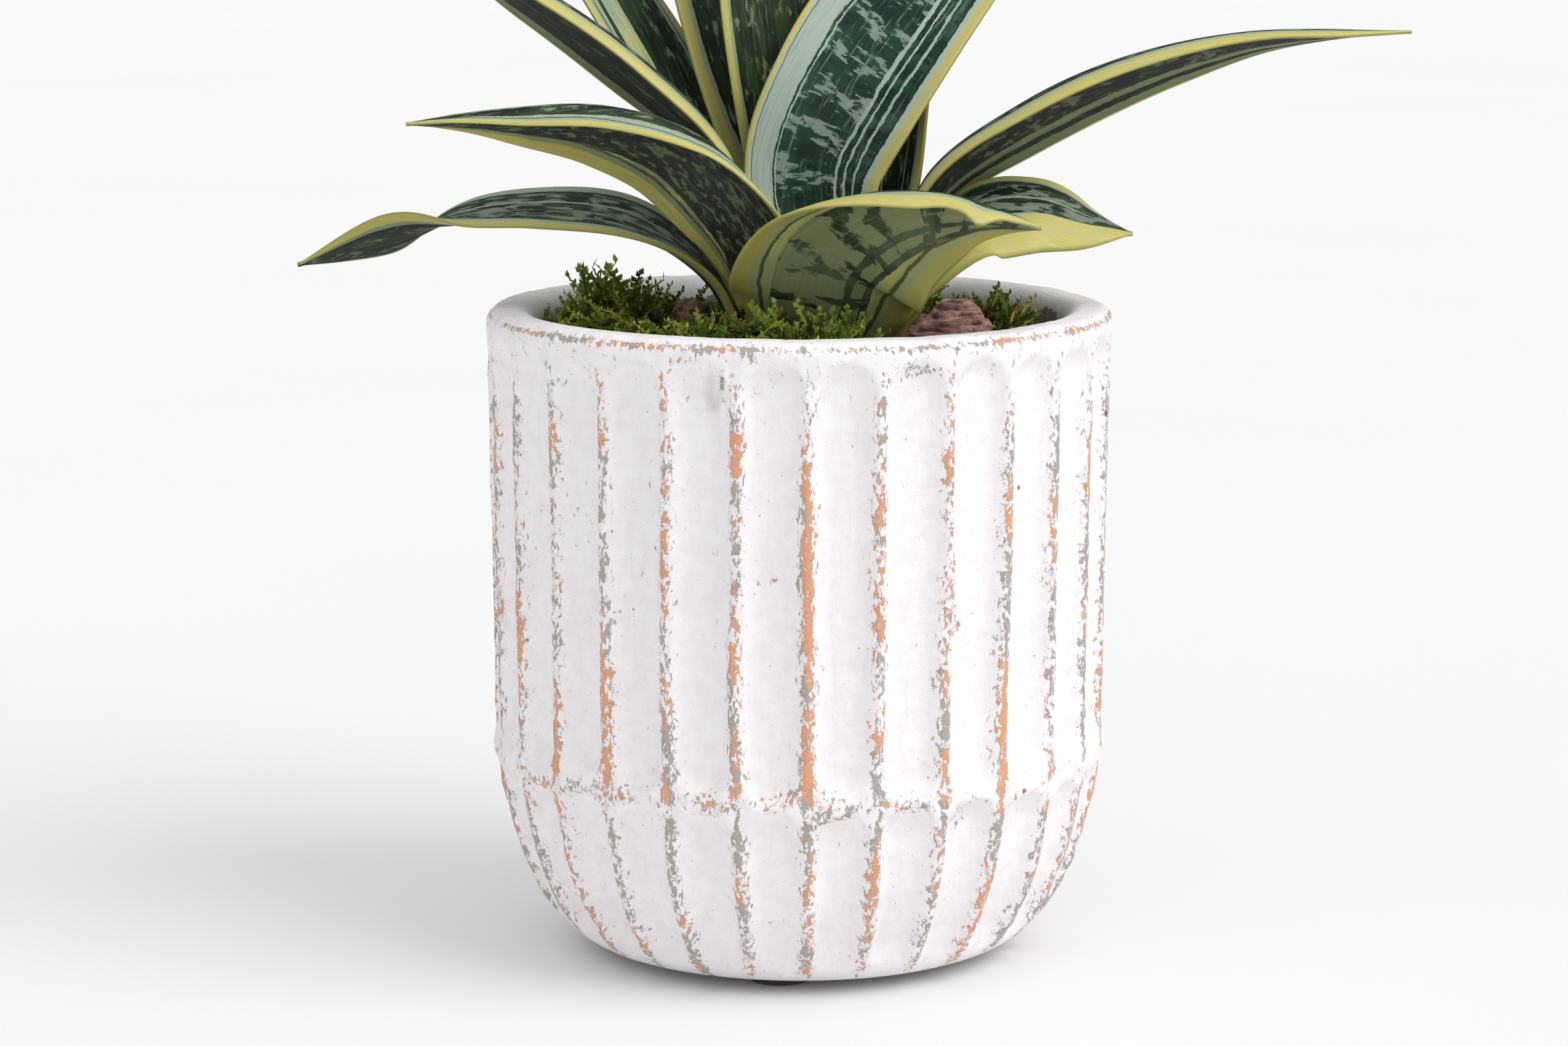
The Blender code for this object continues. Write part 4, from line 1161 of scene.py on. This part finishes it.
def stripe_ramp(s, share, stripes):
    """The stripe masks across a blade, each stripe reaching to its own place."""
    starts = [0.0] + [end for end, _ in stripes[:-1]]
    stops = [(start, STRIPE_MASKS[kind]) for start, (_, kind) in zip(starts, stripes)]
    return s.ramp(share, stops, "CONSTANT")


def leaf_material(name, marking):
    """A satin blade, marked on both sides; its underside has olive mottles, and its darker colours there are
    painted shade.
    """
    material, s, _, grit = gritty(name, 0.35)
    share, across, along = s.separate(s.attribute("blade", "Vector"))
    edge, upper, _ = s.separate(s.attribute("edge", "Vector"))
    seed = marking["seed"] * 7.3
    where = s.effect(BLADE_PLACE, Share=share, Across=across, Along=along, Seed=seed)
    sides = []
    for face, plain in PLAIN_SIDES.items():
        masks = stripe_ramp(s, where["Wandering share"], marking.get(face, plain["stripes"]))
        wide, tall, amount, banding = marking.get(face + "_mottles", LONG_MOTTLES)
        ground, dark = marking.get(face + "_ground", plain["ground"])
        sides.append(s.effect(
            VARIEGATION, Place=where["Place"], Edge=edge, Stripes=masks, Wide=wide, Tall=tall,
            Amount=amount, Banding=banding, Ground=ground, Dark=dark, Margin=plain["margin"],
            Pale=marking.get(face + "_pale", plain["pale"]),
            Blush=marking.get(face + "_blush", plain["blush"])))
    # mixes in the underside's colours, which are darkened as painted shade
    facing = s.ease(upper, 0.45, 0.55)
    shade = s.mix(facing, sides[0]["Colour"], sides[1]["Colour"])
    rough = s.plus(s.ease(upper, 0.4, 0.6, 0.50, 0.36), s.times(grit["Blotch"], 0.12))
    normal = s.bump(grit["Grain"], 0.03, s.bump(sides[1]["Ribs"], 0.12))
    s.surface(shade, rough, normal, Specular_IOR_Level=0.45)
    return material


# ---------------------------------------------------------------- moss

# first and last direction from the crown, where the patch starts, its gap to the wall, sprigs, seed
MOSS_PATCHES = {
    "moss_front": (206, 290, 17.5, 1.2, 1250, 51),
    "moss_right": (334, 374, 19, 6, 430, 52),
    "moss_back": (44, 134, 18.5, 1.2, 950, 53),
    "moss_left": (138, 202, 30, 1.2, 900, 54),
}
MOSS_HEIGHT = 8.0
LEAF_CLEARANCE = 1.1      # from a sprig to a leaf
SPRIG_LENGTH = 8.5
SPRIG_LEAFLETS = 15
SPRIG_KINDS = 4
SPRIG_END = (SPRIG_LENGTH, 0.0, 0.22 * SPRIG_LENGTH)   # above the tip; it has to keep inside the wall

# Upright tufts: patch, direction from the crown, distance, spread, stems, how long they are
TUFTS = (
    ("moss_left", 160, 46, 5, 30, 1.7),
    ("moss_left", 172, 45, 5, 22, 1.3),
    ("moss_left", 150, 44, 4, 18, 1.3),
    ("moss_front", 270, 38, 6, 60, 1.35),
    ("moss_front", 255, 37, 4, 24, 1.3),
    ("moss_front", 235, 40, 4, 22, 1.2),
    ("moss_right", 352, 36, 4, 30, 1.3),
    ("moss_back", 70, 40, 5, 40, 1.4),
)


def sprig(seed):
    """One feathery stem along +X with its points and faces, and each point's place from base to tip.

    The stem arches, 0.45x - 0.5x^2 of its length high, and sways to the side. Leaflets stand in turn to
    either side, each a slim, folded four-cornered blade that leans forward and shortens towards the tip.
    """
    rng = np.random.default_rng(seed)
    x = np.linspace(0, 1, 5)
    path = stack(x, 0.16 * np.sin(3.4 * x + seed), 0.45 * x - 0.5 * x ** 2) * SPRIG_LENGTH
    stem, faces = tube(path, [0.30, 0.28, 0.25, 0.20, 0.08], 3)
    parts = [(stem, faces)]
    places = [np.concatenate([np.repeat(x, 3), [0, 1]])]
    tetra = np.array([[0, 2, 1], [0, 1, 3], [1, 2, 3], [0, 3, 2]])
    for k in range(SPRIG_LEAFLETS):
        t = 0.10 + 0.88 * k / (SPRIG_LEAFLETS - 1)
        root = np.array([np.interp(t, x, column) for column in path.T])
        side = 1 if k % 2 else -1
        lean = math.radians(rng.uniform(34, 58)) * side * (0.25 if k == SPRIG_LEAFLETS - 1 else 1)
        lift = rng.uniform(-0.2, 0.7)
        length = SPRIG_LENGTH * rng.uniform(0.12, 0.19) * (1 - 0.3 * t)
        forward = np.array([math.cos(lean), math.sin(lean), lift])
        aside = np.array([-math.sin(lean), math.cos(lean), 0.0])
        belly = root + forward * length * 0.42 - [0, 0, 0.14]
        wide = 0.40 * length
        blade = np.array([root, root + forward * length, belly + aside * wide, belly - aside * wide])
        parts.append((blade, [tetra]))
        places.append(np.array([t - 0.1, t + 0.25, t, t]))
    points, faces = joined(parts)
    return points, faces, np.concatenate(places)


def patch_sector(node, angle):
    """Where a patch starts and ends along a direction from the crown."""
    _, _, inner, wall_gap, _, _ = MOSS_PATCHES[node]
    return inner, reach(angle) - wall_gap


def mound_height(node, angle, radius):
    """The mound's height: a flattened arch across the patch and along it, with lumps 6 mm apart."""
    start, end = np.radians(MOSS_PATCHES[node][:2])
    near, far = patch_sector(node, angle)
    share = np.clip((radius - near) / (far - near), 0, 1)
    sideways = np.clip((angle - start) / (end - start), 0, 1)
    arch = np.sqrt(np.sin(math.pi * (share * 0.80 + 0.12)) * np.sin(math.pi * (sideways * 0.92 + 0.04)))
    lump = 1 + 0.35 * noise(around(AXIS, radius, angle), 6.0, 55, 2)
    return MOSS_HEIGHT * arch * lump


def moss_core(node, seed):
    """The dark matted inside of a patch: ring-shaped sections from its start to its end, arched above."""
    start, end = np.radians(MOSS_PATCHES[node][:2])
    steps, columns = int(np.degrees(end - start) / 1.2), 22
    angle = np.linspace(start, end, steps)[:, None]
    near, far = patch_sector(node, angle)
    near = near + 1.5
    share = np.linspace(0, 1, columns)
    radius = near + (far - near) * share
    top = 0.66 * mound_height(node, angle, radius)
    top = top + 0.7 * noise(around(AXIS, radius, angle), 1.6, seed)
    top = top * ease(share, 0, 0.1) * ease(share, 1, 0.9) + 0.2
    above = around(CROWN, radius, angle, SOIL_Z + GAP + top)
    below = above * [1, 1, 0] + [0, 0, SOIL_Z + GAP]
    return closed_rings(np.concatenate([above, below[:, ::-1]], axis=1))


def sprig_stances(node, rng):
    """Base point, heading, pitch, roll and scale of each sprig: most creep over the mound and a few
    stand up; the tufts' stems stand close together and are longer.
    """
    start, end, _, _, count, _ = MOSS_PATCHES[node]
    angle = np.radians(rng.uniform(start - 3, end + 3, count))
    near, far = patch_sector(node, angle)
    radius = near + (far - 1.2 - near) * rng.uniform(0, 1, count) ** 0.8
    height = mound_height(node, angle, radius) * rng.uniform(0.15, 1.0, count) ** 0.45
    yaw = rng.uniform(0, TAU, count)
    pitch = np.radians(np.clip(rng.normal(14, 18, count), -15, 60))
    scale = rng.uniform(0.6, 1.15, count)
    for patch, direction, distance, spread, stems, size in TUFTS:
        if patch != node:
            continue
        a = math.radians(direction)
        off = rng.normal(0, spread * 0.5, (stems, 2))
        x, y = distance * math.cos(a) + off[:, 0], distance * math.sin(a) + off[:, 1]
        tuft_angle, tuft_radius = np.arctan2(y, x) % TAU, np.hypot(x, y)
        angle, radius = np.append(angle, tuft_angle), np.append(radius, tuft_radius)
        height = np.append(height, mound_height(node, tuft_angle, tuft_radius) * 0.6)
        yaw = np.append(yaw, np.arctan2(off[:, 1], off[:, 0]) + rng.normal(0, 0.7, stems))
        pitch = np.append(pitch, np.radians(rng.uniform(38, 82, stems)))
        scale = np.append(scale, size * rng.uniform(0.6, 1.05, stems))
    base = around(CROWN, radius, angle, SOIL_Z + GAP + height)
    return base, yaw, pitch, rng.uniform(0, TAU, len(yaw)), scale


def turned(yaw, pitch, roll):
    """Matrices that roll about X, then tip +X up by the pitch, then turn about Z by the yaw."""
    cy, sy, cp, sp, cr, sr = (f(a) for a in (yaw, pitch, roll) for f in (np.cos, np.sin))
    return np.stack([
        np.stack([cy * cp, -cy * sp * sr - sy * cr, -cy * sp * cr + sy * sr], axis=-1),
        np.stack([sy * cp, -sy * sp * sr + cy * cr, -sy * sp * cr - cy * sr], axis=-1),
        np.stack([sp, cp * sr, cp * cr], axis=-1),
    ], axis=1)


def clear_of(tree, base, tip):
    """Which sprigs keep off the leaves: neither end, nor the middle, is within the clearance of one."""
    kept = []
    for a, b in zip(base, tip):
        places = (a, (a + b) / 2, b)
        kept.append(all(tree.find(place)[2] > LEAF_CLEARANCE for place in places))
    return np.array(kept)


def make_moss(node, material, leaf_tree):
    """A patch: its matted core, covered with sprigs that keep off the leaves and inside the wall."""
    rng = np.random.default_rng(MOSS_PATCHES[node][5])
    base, yaw, pitch, roll, scale = sprig_stances(node, rng)
    roll = np.where(rng.uniform(0, 1, len(roll)) < 0.75, roll * 0.2 - 0.6, roll)
    matrices = turned(yaw, pitch, roll)
    tip = base + np.einsum("nij,j->ni", matrices, SPRIG_END) * scale[:, None]
    inside = np.hypot(tip[:, 0], tip[:, 1]) < inner_radius(SOIL_Z) - 0.4
    kept = inside & (tip[:, 2] > SOIL_Z + 0.5) & clear_of(leaf_tree, base, tip)
    kinds = rng.integers(0, SPRIG_KINDS, len(yaw))
    tint = np.clip(rng.normal(0.5, 0.24, len(yaw)) + 0.35 * noise(base, 9.0, 56), 0, 1)
    points, faces = moss_core(node, MOSS_PATCHES[node][5])
    parts, tints, tips = [(points, faces)], [np.full(len(points), 0.2)], [np.zeros(len(points))]
    for kind in range(SPRIG_KINDS):
        chosen = np.flatnonzero(kept & (kinds == kind))
        shape, shape_faces, shape_tip = sprig(60 + kind)
        many = np.einsum("nij,vj->nvi", matrices[chosen], shape) * scale[chosen, None, None]
        many = (many + base[chosen, None]).reshape(-1, 3)
        first = np.arange(len(chosen))[:, None, None] * len(shape)
        parts.append((many, [(face + first).reshape(-1, face.shape[1]) for face in shape_faces]))
        tints.append(np.repeat(tint[chosen], len(shape)))
        tips.append(np.tile(shape_tip, len(chosen)))
    points, faces = joined(parts)
    add_piece(node + "_sprigs", points, faces, material, [node],
              {"tint": np.concatenate(tints), "tip": np.concatenate(tips)}, crease=40.0)


def moss_material():
    """Sheet moss: each sprig has its own green, brown at its foot and yellower at its tip."""
    material, s, _, grit = gritty("moss", 0.25)
    tint, tip = s.attribute("tint"), s.attribute("tip")
    green = s.ramp(tint, ((0.0, colour("4a3214")), (0.13, colour("6f5a22")), (0.22, colour("3f5a1f")),
                          (0.5, colour("678524")), (0.75, colour("98ae38")), (1.0, colour("c6c452"))))
    shade = s.mix(s.ease(tip, 0.6, -0.15), green, "2b200e", 0.85)
    shade = s.mix(s.ease(tip, 0.8, 1.15), shade, "b9bb54", 0.5)
    shade = s.mix(grit["Grain"], shade, "1c2a0e", 0.3)
    s.grained(shade, grit["Grain"], 0.6, 0.85, 0.08, Specular_IOR_Level=0.3)
    return material


# ---------------------------------------------------------------- studio

FLOOR_REACH = 12.0        # metres from the middle to each side
CAMERA_PLACE = (-3.2, -880.0, 238.8)
CAMERA_DOWN = 9.6         # degrees below level
LENS = 97.0
SENSOR = 36.0
BACKDROP = 0.92           # how bright the surround looks to the camera; the rest of the light is AMBIENT
AMBIENT = 0.66
# Suns: name, turn about Z, height, energy, softness; the angles in degrees
LIGHTS = (
    ("key", 60.0, 42.0, 1.30, 44.0),
    ("top", 0.0, 80.0, 0.38, 60.0),
)


def make_studio():
    """A pale floor, an even pale surround, a broad soft key light from the front right, and the camera."""
    mesh = bpy.data.meshes.new("floor")
    corners = [(x * FLOOR_REACH, y * FLOOR_REACH, 0) for x, y in ((-1, -1), (1, -1), (1, 1), (-1, 1))]
    mesh.from_pydata(corners, [], [(0, 1, 2, 3)])
    material, s = new_material("floor")
    faint = s.noise(s.place(), 400.0, 2.0)
    s.surface(s.mix(faint, "f1f1f1", "f5f5f5"), s.ease(faint, 0.0, 1.0, 0.85, 0.95),
              s.bump(faint, 0.01), Specular_IOR_Level=0.0)
    mesh.materials.append(material)
    floor = bpy.data.objects.new("floor", mesh)
    bpy.context.scene.collection.objects.link(floor)

    world = bpy.data.worlds.new("studio")
    world.use_nodes = True
    world.node_tree.nodes.clear()
    sky = Shading(world.node_tree)
    paths = sky.add("ShaderNodeLightPath", {}).node.outputs
    seen = sky.mix(paths["Is Glossy Ray"], "ffffff", "8f9396")
    strength = sky.math("MULTIPLY_ADD", paths["Is Camera Ray"], BACKDROP - AMBIENT, AMBIENT)
    background = sky.add("ShaderNodeBackground", {0: seen, 1: strength})
    sky.wire(world.node_tree.nodes.new("ShaderNodeOutputWorld").inputs[0], background)
    bpy.context.scene.world = world
    bpy.context.scene.view_settings.view_transform = "Standard"

    for name, azimuth, elevation, energy, softness in LIGHTS:
        light = bpy.data.lights.new(name, "SUN")
        light.energy = energy
        light.angle = math.radians(softness)
        lamp = bpy.data.objects.new(name, light)
        lamp.rotation_euler = (math.radians(90 - elevation), 0, math.radians(azimuth))
        bpy.context.scene.collection.objects.link(lamp)

    lens = bpy.data.cameras.new("camera")
    lens.lens = LENS
    lens.sensor_width = SENSOR
    lens.clip_start, lens.clip_end = 0.05, 50.0
    camera = bpy.data.objects.new("camera", lens)
    camera.location = np.array(CAMERA_PLACE) * MM
    camera.rotation_euler = (math.radians(90 - CAMERA_DOWN), 0, 0)
    bpy.context.scene.collection.objects.link(camera)
    bpy.context.scene.camera = camera


# ---------------------------------------------------------------- the plant

NEAR_SOIL = 30.0          # moss can reach leaves up to this height above the soil


def near_soil(points):
    """A search tree of the leaves' points near the soil."""
    low = points[points[:, 2] < SOIL_Z + NEAR_SOIL]
    tree = kdtree.KDTree(len(low))
    for number, point in enumerate(low):
        tree.insert(point, number)
    tree.balance()
    return tree


make_pot(limewash_material())
felt = felt_material()
for number, node in enumerate(sorted(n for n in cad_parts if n.startswith("felt_pad"))):
    make_pad(node, 71 + number, felt)
make_soil(soil_material())
bark = bark_material()
for number, node in enumerate(BARK_CHIPS):
    make_bark_chip(node, 81 + number, bark)
make_twigs(twig_material())
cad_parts["rhizome"].data.materials.clear()
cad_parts["rhizome"].data.materials.append(rhizome_material())
leaf_points = []
for number, (node, leaf) in enumerate(LEAVES.items()):
    marking = {"seed": 20 + number, "margins": PLAIN_MARGINS, **MARKINGS.get(node, {})}
    leaf_points.append(make_leaf(node, leaf, marking))
leaf_tree = near_soil(np.concatenate(leaf_points))
moss = moss_material()
for node in MOSS_PATCHES:
    make_moss(node, moss, leaf_tree)
make_studio()
